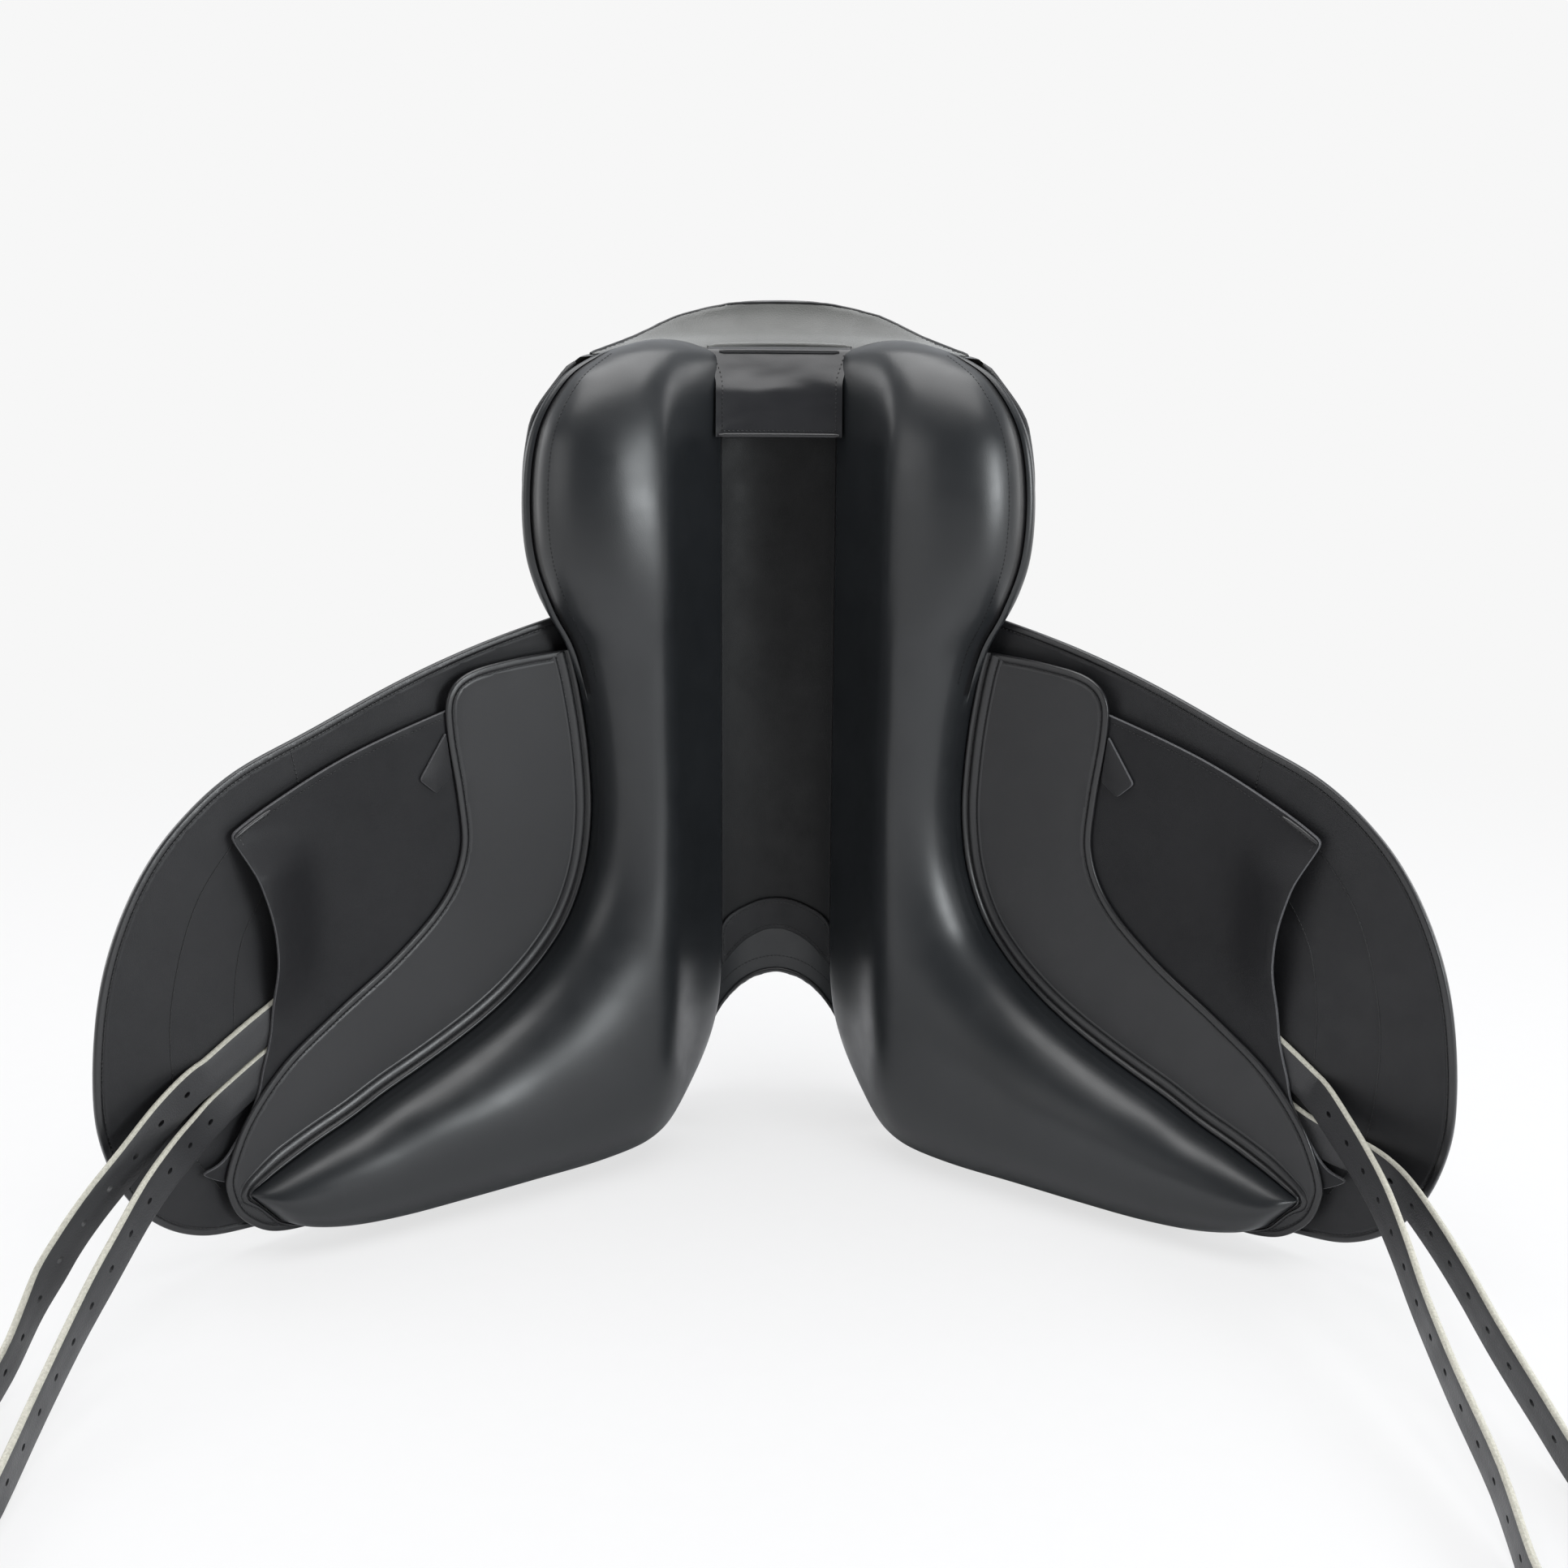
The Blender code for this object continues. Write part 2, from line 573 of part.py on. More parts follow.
def girth_web(side):
    """The web from the tree's rail down to the girth straps."""
    bm = sheet_mesh(GIRTH_WEB, FLAP_LOW - GAP - WEB_THICK, WEB_THICK, on_side(side))
    make_object("girth_web_" + side_name(side), "web", bm)


# Stirrup bar: a plate on the tree's rail, and a bar that stands out from it and points to the
# rear; the catch stands at the bar's open end
BAR_THICK = 0.0050
BAR_STRIP = 0.0060
BAR_OUT_LOW = 0.0090           # height of the bar itself over the back line
BAR_REAR = 0.2600
BAR_IN, BAR_OUT = -0.0005, 0.0085
BAR_OUTLINE = [(-0.043, 0.1700), (-0.014, 0.1660), (0.003, 0.1620), (BAR_OUT, 0.1660),
               (BAR_OUT, BAR_REAR), (BAR_IN, BAR_REAR), (BAR_IN, 0.1780), (-0.008, 0.1800),
               (-0.018, 0.1860), (-0.018, 0.2340), (-0.043, 0.2340)]
TONGUE = 0.0030                # width of the bar's tongue between the catch's cheeks
CATCH_LONG = 0.0150
CATCH_PIN = 0.0013
CATCH_END = CATCH_PIN + 0.0008  # from the pin's middle to the ends of the tongue and the catch
PIN_PLAY = 0.0001
RIVET_SHANK = 0.0020
RIVET_HEAD = 0.0042
RIVET_HEAD_HIGH = 0.0016
RIVET_AT = [(-0.031, 0.1860), (-0.031, 0.2200)]


def bar_low(s, z):
    """The plate lies on the rail; the bar is lower, between the flap and the skirt."""
    return mix(TREE_TOP + GAP, BAR_OUT_LOW, blend(-0.020, BAR_IN - 0.002, s))


def box_on_side(side, s_range, t_range, z_range):
    """A small block, flat on the back line's slope."""
    rings = [[place(side, s, t, z) for s, t in ((s_range[0], t_range[0]),
                                                (s_range[1], t_range[0]),
                                                (s_range[1], t_range[1]),
                                                (s_range[0], t_range[1]))] for z in z_range]
    return loft_mesh(rings)


def stirrup_bar(side, rail_holes):
    """The bar, its safety catch with the pin, and the rivets through plate and rail."""
    name = side_name(side)
    bar = make_object("stirrup_bar_" + name, "steel",
                      sheet_mesh(BAR_OUTLINE, bar_low, BAR_THICK, on_side(side), strip=BAR_STRIP))
    middle_s = (BAR_IN + BAR_OUT) / 2
    middle_t = BAR_OUT_LOW + BAR_THICK / 2
    pin_z = BAR_REAR + BAR_THICK
    ends = [place(side, s, middle_t, pin_z) for s in (BAR_IN - GAP, BAR_OUT + GAP)]
    make_object("catch_pin_" + name, "steel", cylinder_mesh(*ends, CATCH_PIN))
    over = [place(side, s, middle_t, pin_z) for s in (BAR_IN - CUT / 4, BAR_OUT + CUT / 4)]
    pin_hole = make_cutter("pin_hole_" + name, cylinder_mesh(*over, CATCH_PIN + 2 * PIN_PLAY))
    tongue = make_cutter("tongue_" + name, box_on_side(
        side, (middle_s - TONGUE / 2, middle_s + TONGUE / 2),
        (BAR_OUT_LOW, BAR_OUT_LOW + BAR_THICK), (BAR_REAR - GAP, pin_z + CATCH_END)))
    cut(bar, tongue, "UNION")
    cut(bar, pin_hole)
    catch = make_object("safety_catch_" + name, "steel", box_on_side(
        side, (BAR_IN, BAR_OUT), (BAR_OUT_LOW, BAR_OUT_LOW + BAR_THICK),
        (pin_z - CATCH_END, pin_z + CATCH_LONG)), place(side, middle_s, middle_t, pin_z))
    slot = make_cutter("catch_slot_" + name, box_on_side(
        side, (middle_s - TONGUE / 2 - GAP, middle_s + TONGUE / 2 + GAP),
        (BAR_OUT_LOW - CUT, BAR_OUT_LOW + BAR_THICK + CUT),
        (pin_z - CUT, pin_z + BAR_THICK)))
    cut(catch, slot)
    cut(catch, pin_hole)
    for i, (s, z) in enumerate(RIVET_AT):
        top = TREE_TOP + GAP + BAR_THICK + GAP
        head = make_object("bar_rivet_%d_%s" % (i + 1, name), "steel", cylinder_mesh(
            place(side, s, top, z), place(side, s, top + RIVET_HEAD_HIGH, z), RIVET_HEAD))
        shank = make_cutter("shank_%d_%s" % (i + 1, name), cylinder_mesh(
            place(side, s, TREE_LOW + GAP, z), place(side, s, top + GAP, z), RIVET_SHANK))
        hole = make_cutter("rivet_hole_%d_%s" % (i + 1, name), cylinder_mesh(
            place(side, s, TREE_LOW - CUT, z), place(side, s, top + CUT, z),
            RIVET_SHANK + 2 * PIN_PLAY))
        cut(head, shank, "UNION")
        cut(bar, hole)
        rail_holes.append(hole)


# Stations of the seat: height, s and t of its lower edge, depth of its crown, and its dish
SEAT_STATIONS = [
    (0.0000, -0.030, 0.0100, 0.0700, 0.0),
    (0.0080, -0.022, 0.0060, 0.0840, 0.0),
    (HEAD_HIGH / 3, -0.014, 0.0100, 0.0980, 0.0),
    (HEAD_HIGH * 2 / 3, -0.006, 0.0200, 0.1080, 0.0),
    (HEAD_HIGH, 0.0, SEAT_SIDE_LOW, 0.1110, 0.0),
    (seat_height(0.1412), 0.0, SEAT_SIDE_LOW, 0.1030, 0.0),
    (seat_height(0.2824), 0.0, SEAT_SIDE_LOW, 0.0940, 0.001),
    (seat_height(0.4235), 0.0, SEAT_SIDE_LOW, 0.0920, 0.003),
    (seat_height(0.4988), 0.0, SEAT_SIDE_LOW, 0.0940, 0.005),
    (seat_height(0.6000), 0.056, 0.0090, 0.1010, 0.009),
    (seat_height(0.7059), 0.072, 0.0010, 0.1140, 0.016),
    (seat_height(0.8000), 0.080, -0.0010, 0.1290, 0.022),
    (seat_height(0.8941), 0.074, -0.0010, 0.1460, 0.022),
    (seat_height(0.9647), 0.052, -0.0010, 0.1560, 0.014),
    (CANTLE_LOW, 0.034, -0.0010, 0.1580, 0.006),
    (CANTLE_LOW + 0.0150, -0.022, 0.0350, 0.1540, 0.0),
    (CANTLE_LOW + 0.0280, -0.064, 0.0470, 0.1420, 0.0),
    (CANTLE_LOW + 0.0350, -0.094, 0.0500, 0.1260, 0.0),
]
SEAT_SIDES = 12
SEAT_ROUND = 2.4               # 2 is an ellipse; more is squarer


def seat_station(z):
    """The seat's station at height z, between the two nearest in the list."""
    for a, b in zip(SEAT_STATIONS, SEAT_STATIONS[1:]):
        if z <= b[0]:
            share = (z - a[0]) / (b[0] - a[0])
            return tuple(mix(p, q, share) for p, q in zip(a, b))
    return SEAT_STATIONS[-1]


def seat_ring(z, inset=0.0):
    """The seat's section at height z, over its crown from edge to edge and drawn in by inset."""
    _, s_edge, t_edge, crown, dish = seat_station(z)
    edge_x, edge_y = arc_point(s_edge, t_edge)
    half = edge_x - inset
    top = crown - inset
    ring = []
    for k in range(SEAT_SIDES + 1):
        angle = pi * k / SEAT_SIDES
        c, sn = cos(angle), sin(angle)
        x = half * abs(c) ** (2 / SEAT_ROUND) * (1 if c > 0 else -1)
        y = edge_y + (top - edge_y) * abs(sn) ** (2 / SEAT_ROUND)
        y -= dish * (1.0 - (x / half) ** 2) ** 2
        ring.append(Vector((x, y + ROOT_BEHIND, z)))
    return ring


ARCH_END = -SLOPE_RUN / cos(SLOPE)      # s where the arch over the gullet begins
ARCH_SHARES = (0.2, 0.4, 0.6, 0.8, 1.0)
ARCH_STOPS = [mix(ARCH_END, MIDDLE, share) for share in ARCH_SHARES]
WELL_EDGE = -0.0480            # inside this line the foam lies down on the webs


def mirror_under(points, z):
    """Points under the seat from the left edge to the right; the last one is on the middle."""
    left = [Vector((-x, y + ROOT_BEHIND, z)) for x, y in points]
    right = [Vector((x, y + ROOT_BEHIND, z)) for x, y in points[:-1]]
    return left + right[::-1]


def foam_under(z):
    """The underside of the foam: over the stirrup bars at its sides, on the webs inside them."""
    _, s_edge, t_edge, _, _ = seat_station(z)
    bound = arc_point(s_edge, t_edge)[0] - FOAM_SIDE
    stops = [(s_edge - FOAM_SIDE, SEAT_SIDE_LOW), (WELL_EDGE + 0.004, SEAT_SIDE_LOW),
             (WELL_EDGE, FOAM_LOW), (ARCH_END, FOAM_LOW)]
    stops += [(s, FOAM_LOW) for s in ARCH_STOPS]
    points = [arc_point(s, t) for s, t in stops]
    return mirror_under([(min(x, bound), y) for x, y in points], z)


def solid_ring(z):
    """The seat's section closed along the back line, over the panels.

    Past its foot the cantle's rear face leans away from the panels, as far as its edge does.
    """
    _, s_edge, t_edge, _, _ = seat_station(z)
    bend = min(s_edge, ARCH_END)
    stops = [mix(s_edge, bend, share) for share in (0.12, 0.50)]
    stops += [mix(bend, MIDDLE, share) for share in (0.0 if s_edge > bend else 0.1, *ARCH_SHARES)]
    foot = seat_station(CANTLE_LOW)[2]
    lean = max(t_edge - foot, 0.0) if z > CANTLE_LOW else 0.0
    points = [arc_point(s, min(HEAD_UNDER, t_edge) + lean) for s in stops]
    return seat_ring(z) + mirror_under(points, z)


def heights_between(low, high):
    """The stations' heights inside a range, with both of its ends."""
    inner = [row[0] for row in SEAT_STATIONS if low + 0.004 < row[0] < high - 0.004]
    return [low] + inner + [high]


COVER_LOW = HEAD_HIGH + GAP
COVER_HIGH = CANTLE_LOW - GAP
FOAM_SIDE = 0.0110             # the foam stops this far inside the cover's lower edge


def seat_cover():
    """The leather over the seat, open below and at both ends."""
    outer = [seat_ring(z) for z in heights_between(COVER_LOW, COVER_HIGH)]
    thing = make_object("seat_cover", "seat_leather", loft_mesh(outer))
    heights = [COVER_LOW - CUT] + heights_between(COVER_LOW, COVER_HIGH) + [COVER_HIGH + CUT]
    hollow = []
    for z in heights:
        ring = seat_ring(min(max(z, COVER_LOW), COVER_HIGH), COVER_THICK)
        for point in ring:
            point.z = z
        for end in (0, -1):
            ring[end].y -= CUT
        hollow.append(ring)
    cut(thing, make_cutter("seat_hollow", loft_mesh(hollow)))


def seat_foam():
    """The foam between the webs and the cover."""
    rings = []
    for z in heights_between(COVER_LOW + GAP, COVER_HIGH - GAP):
        arc = seat_ring(z, COVER_THICK + GAP)
        rings.append(arc[1:-1] + foam_under(z))
    make_object("seat_foam", "foam", loft_mesh(rings))


def ellipse_prism(name, half, high, y_low, y_high):
    """A cutter: a standing arch that runs along Y."""
    sides = 28
    rings = []
    for y in (y_low, y_high):
        rings.append([Vector((half * cos(2 * pi * k / sides), y, high * sin(2 * pi * k / sides)))
                      for k in range(sides)])
    return make_cutter(name, loft_mesh(rings))


def pommel_head():
    """The cut-back head: an arch whose two feet stand on the floor."""
    rings = [solid_ring(z) for z in heights_between(0.0, HEAD_HIGH)]
    thing = make_object("pommel_head", "seat_leather", loft_mesh(rings))
    cutter = ellipse_prism("head_arch", ARCH_HALF, ARCH_HIGH,
                           ROOT_BEHIND - ARCH_BEFORE, ROOT_BEHIND + ARCH_BEHIND)
    cut(thing, cutter)


def cantle_back():
    """The rear face of the cantle."""
    rings = [solid_ring(z) for z in heights_between(CANTLE_LOW, SEAT_STATIONS[-1][0])]
    make_object("cantle_back", "seat_leather", loft_mesh(rings))


# Stations round the tree: outer and inner edge, each as s on its side and share of the seat
TREE_RING = [
    (0.0, 0.0047, 0.0, 0.0706),
    (0.030, 0.0047, 0.030, 0.0776),
    (0.070, 0.0094, 0.058, 0.0941),
    (0.098, 0.0471, 0.066, 0.1294),
    (0.100, 0.1647, 0.068, 0.2118),
    (0.098, 0.3294, 0.068, 0.3294),
    (0.104, 0.4941, 0.072, 0.4941),
    (0.124, 0.6353, 0.082, 0.6353),
    (0.146, 0.7529, 0.090, 0.7294),
    (0.140, 0.8706, 0.080, 0.8000),
    (0.100, 0.9412, 0.056, 0.8329),
    (0.050, 0.9694, 0.028, 0.8471),
    (0.0, 0.9788, 0.0, 0.8518),
]


def tree():
    """The laminated frame: head, two rails and cantle in one ring."""
    half = curve_through([(s_out, seat_height(out), s_in, seat_height(inner))
                          for s_out, out, s_in, inner in TREE_RING])
    mirrored = [(-so, zo, -si, zi) for so, zo, si, zi in half[1:-1]]
    rings = []
    for s_out, z_out, s_in, z_in in half + mirrored[::-1]:
        rings.append([across(s_out, TREE_LOW, z_out), across(s_out, TREE_TOP, z_out),
                      across(s_in, TREE_TOP, z_in), across(s_in, TREE_LOW, z_in)])
    return make_object("tree_frame", "laminated_wood", loft_mesh(rings, closed=True))


def sheet_across(name, finish, outline, low, thick):
    bm = sheet_mesh(outline, low, thick, across, strip=ARCH_STRIP)
    return make_object(name, finish, bm)


# Ends of the webs, as shares of the seat
WEB_ENDS = (0.0282, 0.9365)
CROSS_WEB_ENDS = (0.3529, 0.4706)


def webs():
    """The webs that carry the seat: two along the saddle and one across."""
    for side in (-1, 1):
        edges = sorted((side * 0.010, side * 0.034))
        low, high = seat_height(WEB_ENDS[0]), seat_height(WEB_ENDS[1])
        outline = [(edges[0], low), (edges[1], low), (edges[1], high), (edges[0], high)]
        sheet_across("seat_web_" + side_name(side), "web", outline, WEB_LOW, WEB_THICK)
    low, high = seat_height(CROSS_WEB_ENDS[0]), seat_height(CROSS_WEB_ENDS[1])
    outline = [(-0.066, low), (0.066, low), (0.066, high), (-0.066, high)]
    sheet_across("seat_web_cross", "web", outline, CROSS_WEB_LOW, WEB_THICK)


PLATE_THICK = 0.0026
PLATE_SHORT = 0.0013           # from the rivets' line to the plate's end


def gullet_plate():
    """The steel arch under the head of the tree."""
    half = RIVET_AT[0][0] - MIDDLE - PLATE_SHORT
    outline = [(-half, 0.1660), (-0.044, 0.1580), (0.044, 0.1580), (half, 0.1660),
               (half, 0.1840), (0.044, 0.1780), (-0.044, 0.1780), (-half, 0.1840)]
    sheet_across("gullet_plate", "steel", outline, TREE_LOW - GAP - PLATE_THICK, PLATE_THICK)


def arch_lining():
    """The leather under the head, seen through the arch."""
    outline = closed_outline([(-0.0440, 0.1300), (-0.0430, 0.1540), (-0.022, 0.1660),
                              (0.0, 0.1700), (0.022, 0.1660), (0.0430, 0.1540),
                              (0.0440, 0.1300)],
                             [(0.0440, 0.1300), (0.024, 0.1400), (0.0, 0.1440),
                              (-0.024, 0.1400), (-0.0440, 0.1300)], steps=2)
    low = HEAD_UNDER - GAP - LINING_THICK
    sheet_across("pommel_lining", "lining_leather", outline, low, LINING_THICK)


LINING_LOW = -0.0034
# Half the lining's width, and where, as a share of the seat
CHANNEL_HALF = [(0.0470, 0.0353), (0.0480, 0.6118), (0.0500, 0.8847)]


def channel_lining():
    """The strip that closes the gullet channel, narrower towards the head."""
    half = [(s, seat_height(share)) for s, share in CHANNEL_HALF]
    outline = [(-s, z) for s, z in half[::-1]] + half
    sheet_across("gullet_lining", "lining_leather", outline, LINING_LOW, LINING_THICK)


BRIDGE_LOW = 0.5205
BRIDGE_HIGH = 0.5790
BRIDGE_DEPTH = 0.0560          # how far it lies below the crown of the gullet
BRIDGE_REACH = 0.0010          # past the channel's wall, where the panels are rounded already


def gullet_bridge():
    """The leather band across the rear of the gullet, between the panels."""
    half = PANEL_INNER + BRIDGE_REACH
    rings = []
    for z in (BRIDGE_LOW, mix(BRIDGE_LOW, BRIDGE_HIGH, 0.5), BRIDGE_HIGH):
        low, high = [], []
        for k in range(7):
            x = half * (2 * k / 6 - 1)
            bow = 0.0040 * (1 - (x / half) ** 2)
            crown = arc_point(MIDDLE, 0.0)[1] + ROOT_BEHIND - BRIDGE_DEPTH
            low.append(Vector((x, crown + bow, z)))
            high.append(Vector((x, crown + bow + 2 * LINING_THICK, z)))
        rings.append(low + high[::-1])
    make_object("gullet_bridge", "lining_leather", loft_mesh(rings))


def build_saddle():
    rail_holes = []
    for side in (-1, 1):
        panel(side)
        flap(side)
        knee_block(side)
        billet_guard(side)
        sweat_flap(side)
        skirt(side)
        keeper_tab(side)
        girth_web(side)
        stirrup_bar(side, rail_holes)
        for where in ("front", "rear"):
            strap_root(side, where)
            free_strap(side, where)
    seat_cover()
    seat_foam()
    pommel_head()
    cantle_back()
    frame = tree()
    for hole in rail_holes:
        cut(frame, hole)
    webs()
    gullet_plate()
    arch_lining()
    channel_lining()
    gullet_bridge()


for thing in list(bpy.data.objects):
    bpy.data.objects.remove(thing, do_unlink=True)
build_saddle()
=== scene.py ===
"""The looks of an Icelandic riding saddle that stands on its nose.

Metres, +Z up, in the frame's own place: the horse's side looks along -Y, the pommel is on the
floor, and the rider's right is +X. Leather is laid out flat as (s, z), s along the leather from
the flap's root and z the height, and then bent along the saddle's back line.
"""
from math import asin, cos, exp, pi, radians, sin, sqrt, tau

import bmesh
import bpy
import numpy as np
from mathutils import Matrix, Vector, noise
from mathutils.bvhtree import BVHTree

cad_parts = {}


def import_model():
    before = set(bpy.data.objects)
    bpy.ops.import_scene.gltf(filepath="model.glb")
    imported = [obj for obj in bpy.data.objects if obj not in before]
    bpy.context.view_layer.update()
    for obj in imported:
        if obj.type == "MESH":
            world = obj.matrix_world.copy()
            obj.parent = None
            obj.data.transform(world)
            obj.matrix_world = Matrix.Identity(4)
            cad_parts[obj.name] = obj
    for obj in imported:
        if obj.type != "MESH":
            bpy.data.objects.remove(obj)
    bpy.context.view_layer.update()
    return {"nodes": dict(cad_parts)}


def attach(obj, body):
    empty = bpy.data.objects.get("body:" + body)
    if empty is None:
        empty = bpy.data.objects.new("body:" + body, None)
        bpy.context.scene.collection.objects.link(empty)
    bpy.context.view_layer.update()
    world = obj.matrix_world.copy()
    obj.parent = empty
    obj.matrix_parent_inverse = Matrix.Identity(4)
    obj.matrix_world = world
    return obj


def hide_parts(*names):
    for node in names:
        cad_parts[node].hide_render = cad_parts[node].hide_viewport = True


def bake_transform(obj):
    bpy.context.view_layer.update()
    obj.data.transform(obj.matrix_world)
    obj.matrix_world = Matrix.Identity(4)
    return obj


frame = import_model()

GAP = 0.0004

# The back line, as the frame has it
ROOT_BEHIND = 0.2030
GULLET_HALF = 0.0450
SLOPE = radians(33.0)
SLOPE_RUN = 0.0610
FLAP_BEND = 0.5400

# Leather, and the heights of the layers over the back line
FLAP_THICK = 0.0042
GUARD_THICK = 0.0030
SWEAT_THICK = 0.0032
SKIRT_THICK = 0.0034
LINING_THICK = 0.0024
TAB_THICK = 0.0024
WEB_THICK = 0.0020
BILLET_THICK = 0.0042
BILLET_WIDE = 0.0240
FLAP_LOW = 0.0
BILLET_LOW = FLAP_LOW - GAP - BILLET_THICK
GUARD_LOW = BILLET_LOW - GAP - GUARD_THICK
SWEAT_LOW = GUARD_LOW - GAP - SWEAT_THICK
PANEL_BACK = SWEAT_LOW - GAP
PANEL_BACK_TREE = -0.0040
HEAD_UNDER = PANEL_BACK_TREE + GAP
TREE_LOW = FLAP_LOW + FLAP_THICK + GAP
TREE_THICK = 0.0100
TREE_TOP = TREE_LOW + TREE_THICK
WEB_LOW = TREE_TOP + GAP
CROSS_WEB_LOW = WEB_LOW + WEB_THICK + GAP
FOAM_LOW = CROSS_WEB_LOW + WEB_THICK + GAP
SKIRT_LOW = 0.0226
SEAT_SIDE_LOW = SKIRT_LOW + SKIRT_THICK + 0.0018
FLAP_HINGE = 0.0450
PANEL_INNER = 0.0425
LINING_LOW = -0.0034

# Sewing
STITCH_PITCH = 0.0030
STITCH_LONG = 0.0022
STITCH_THICK = 0.00045
STITCH_SLANT = 0.16            # how far a stitch turns out of its row
EDGE_SEAM = 0.0052             # from a leather's edge to its row of stitches
SEWN_IN = -0.0004              # how far a seam's stitches lie below the face beside them
SEAM_SHADE = 0.0004             # half the width of the dark line painted along a seam as its shade
FLAP_ROUND = 0.0014            # how round the outer flap's edge is


def mix(a, b, share):
    return a + (b - a) * share


def table(text):
    """Rows of numbers that are given in ten-thousandths, as in tenths of a millimetre."""
    return [tuple(int(number) / 10000.0 for number in row.split()) for row in text.split(",")]


def ease(low, high, value):
    """0 at low and 1 at high, with a smooth step between them."""
    share = min(max((value - low) / (high - low), 0.0), 1.0)
    return share * share * (3.0 - 2.0 * share)


def side_name(side):
    return "left" if side < 0 else "right"


def arc_point(s, t):
    """X and Y at s along the back line from the flap's root, and t over it."""
    radius = GULLET_HALF / sin(SLOPE)
    run = SLOPE_RUN / cos(SLOPE)
    root_x = GULLET_HALF + SLOPE_RUN
    if s >= 0.0:
        angle = SLOPE + FLAP_BEND * s
        x = root_x + (sin(angle) - sin(SLOPE)) / FLAP_BEND
        y = -(cos(SLOPE) - cos(angle)) / FLAP_BEND
    elif s >= -run:
        angle = SLOPE
        x = root_x + s * cos(SLOPE)
        y = -s * sin(SLOPE)
    else:
        angle = SLOPE + (s + run) / radius
        x = radius * sin(angle)
        y = run * sin(SLOPE) + radius * (cos(angle) - cos(SLOPE))
    return x + t * sin(angle), y + t * cos(angle)


ARCH_END = -SLOPE_RUN / cos(SLOPE)
MIDDLE = ARCH_END - GULLET_HALF * SLOPE / sin(SLOPE)


def s_of_x(x):
    """s where the back line is at x from the centre plane, outside the arch."""
    root_x = GULLET_HALF + SLOPE_RUN
    if x <= root_x:
        return (x - root_x) / cos(SLOPE)
    return (asin(sin(SLOPE) + FLAP_BEND * (x - root_x)) - SLOPE) / FLAP_BEND


def place(side, s, t, z):
    """World point on one side of the saddle; side is -1 for the left and 1 for the right."""
    x, y = arc_point(s, t)
    return Vector((side * x, y + ROOT_BEHIND, z))


def on_side(side):
    return lambda s, t, z: place(side, s, t, z)


def across(s, t, z):
    """World point of a piece that runs across the saddle; s is 0 on the centre plane."""
    return place(-1 if s < 0 else 1, MIDDLE + abs(s), t, z)


def curve_through(points, steps):
    """Points of a smooth curve through the given ones, with steps between each pair."""
    result = []
    last = len(points) - 1
    for i in range(last):
        p0 = points[max(i - 1, 0)]
        p1, p2 = points[i], points[i + 1]
        p3 = points[min(i + 2, last)]
        for k in range(steps):
            u = k / steps
            result.append(tuple(
                0.5 * (2 * b + (c - a) * u + (2 * a - 5 * b + 4 * c - d) * u * u
                       + (3 * b - a - 3 * c + d) * u ** 3)
                for a, b, c, d in zip(p0, p1, p2, p3)))
    result.append(tuple(points[last]))
    return result


def closed_outline(*runs, steps):
    """One closed outline from smooth runs that meet in corners."""
    result = []
    for run in runs:
        for point in curve_through(run, steps):
            if not result or (Vector(point) - Vector(result[-1])).length > 1e-5:
                result.append(point)
    if (Vector(result[0]) - Vector(result[-1])).length < 1e-5:
        result.pop()
    return result


def lengths(line):
    """How far each point is along a line."""
    return np.concatenate([[0.0], np.cumsum(np.linalg.norm(np.diff(line, axis=0), axis=1))])


def headings(points):
    """The direction of a line at each of its points."""
    line = [Vector(p) for p in points]
    last = len(line) - 1
    return [(line[min(i + 1, last)] - line[max(i - 1, 0)]).normalized() for i in range(last + 1)]


def spaced(points, step, closed=False):
    """The same line with points at an even distance near step."""
    line = np.array(points, float)
    if closed:
        line = np.vstack([line, line[:1]])
    along = lengths(line)
    at = np.linspace(0.0, along[-1], max(int(round(along[-1] / step)), 2) + 1)
    if closed:
        at = at[:-1]
    return np.stack([np.interp(at, along, line[:, k]) for k in range(line.shape[1])], axis=1)


def smoothed(line, passes):
    """The same line without corners, its ends kept."""
    for _ in range(passes):
        line[1:-1] = (line[:-2] + 2.0 * line[1:-1] + line[2:]) / 4.0
    return line


def rounded_outline(points, step=0.0026, passes=3):
    """An even outline that runs anticlockwise, with its corners worn a little round."""
    line = spaced(points, step, closed=True)
    for _ in range(passes):
        line = (np.roll(line, 1, axis=0) + 2.0 * line + np.roll(line, -1, axis=0)) / 4.0
    ahead = np.roll(line, -1, axis=0)
    area = np.sum(line[:, 0] * ahead[:, 1] - line[:, 1] * ahead[:, 0])
    return line if area > 0 else line[::-1]


def leather_outline(*runs, steps=10):
    return rounded_outline(closed_outline(*runs, steps=steps))


def inset(line, distance):
    """An outline moved inwards; points that would pass a corner stay at that corner."""
    if distance <= 0.0:
        return line.copy()
    along = np.roll(line, -1, axis=0) - np.roll(line, 1, axis=0)
    along /= np.linalg.norm(along, axis=1)[:, None]
    moved = line + np.stack([-along[:, 1], along[:, 0]], axis=1) * distance
    away = np.linalg.norm(moved[:, None, :] - line[None, :, :], axis=2).min(axis=1)
    good = away > distance * 0.985 - 1e-5
    if not good.any():
        return moved
    where = np.flatnonzero(good)
    for i in np.flatnonzero(~good):
        steps = np.abs(where - i)
        moved[i] = moved[where[np.argmin(np.minimum(steps, len(line) - steps))]]
    return moved


# Materials

def fill(tree, made, inputs):
    """Sets a node's inputs; each is a value or another node's output."""
    for key, value in inputs.items():
        if isinstance(value, bpy.types.NodeSocket):
            tree.links.new(value, made.inputs[key])
        else:
            made.inputs[key].default_value = value


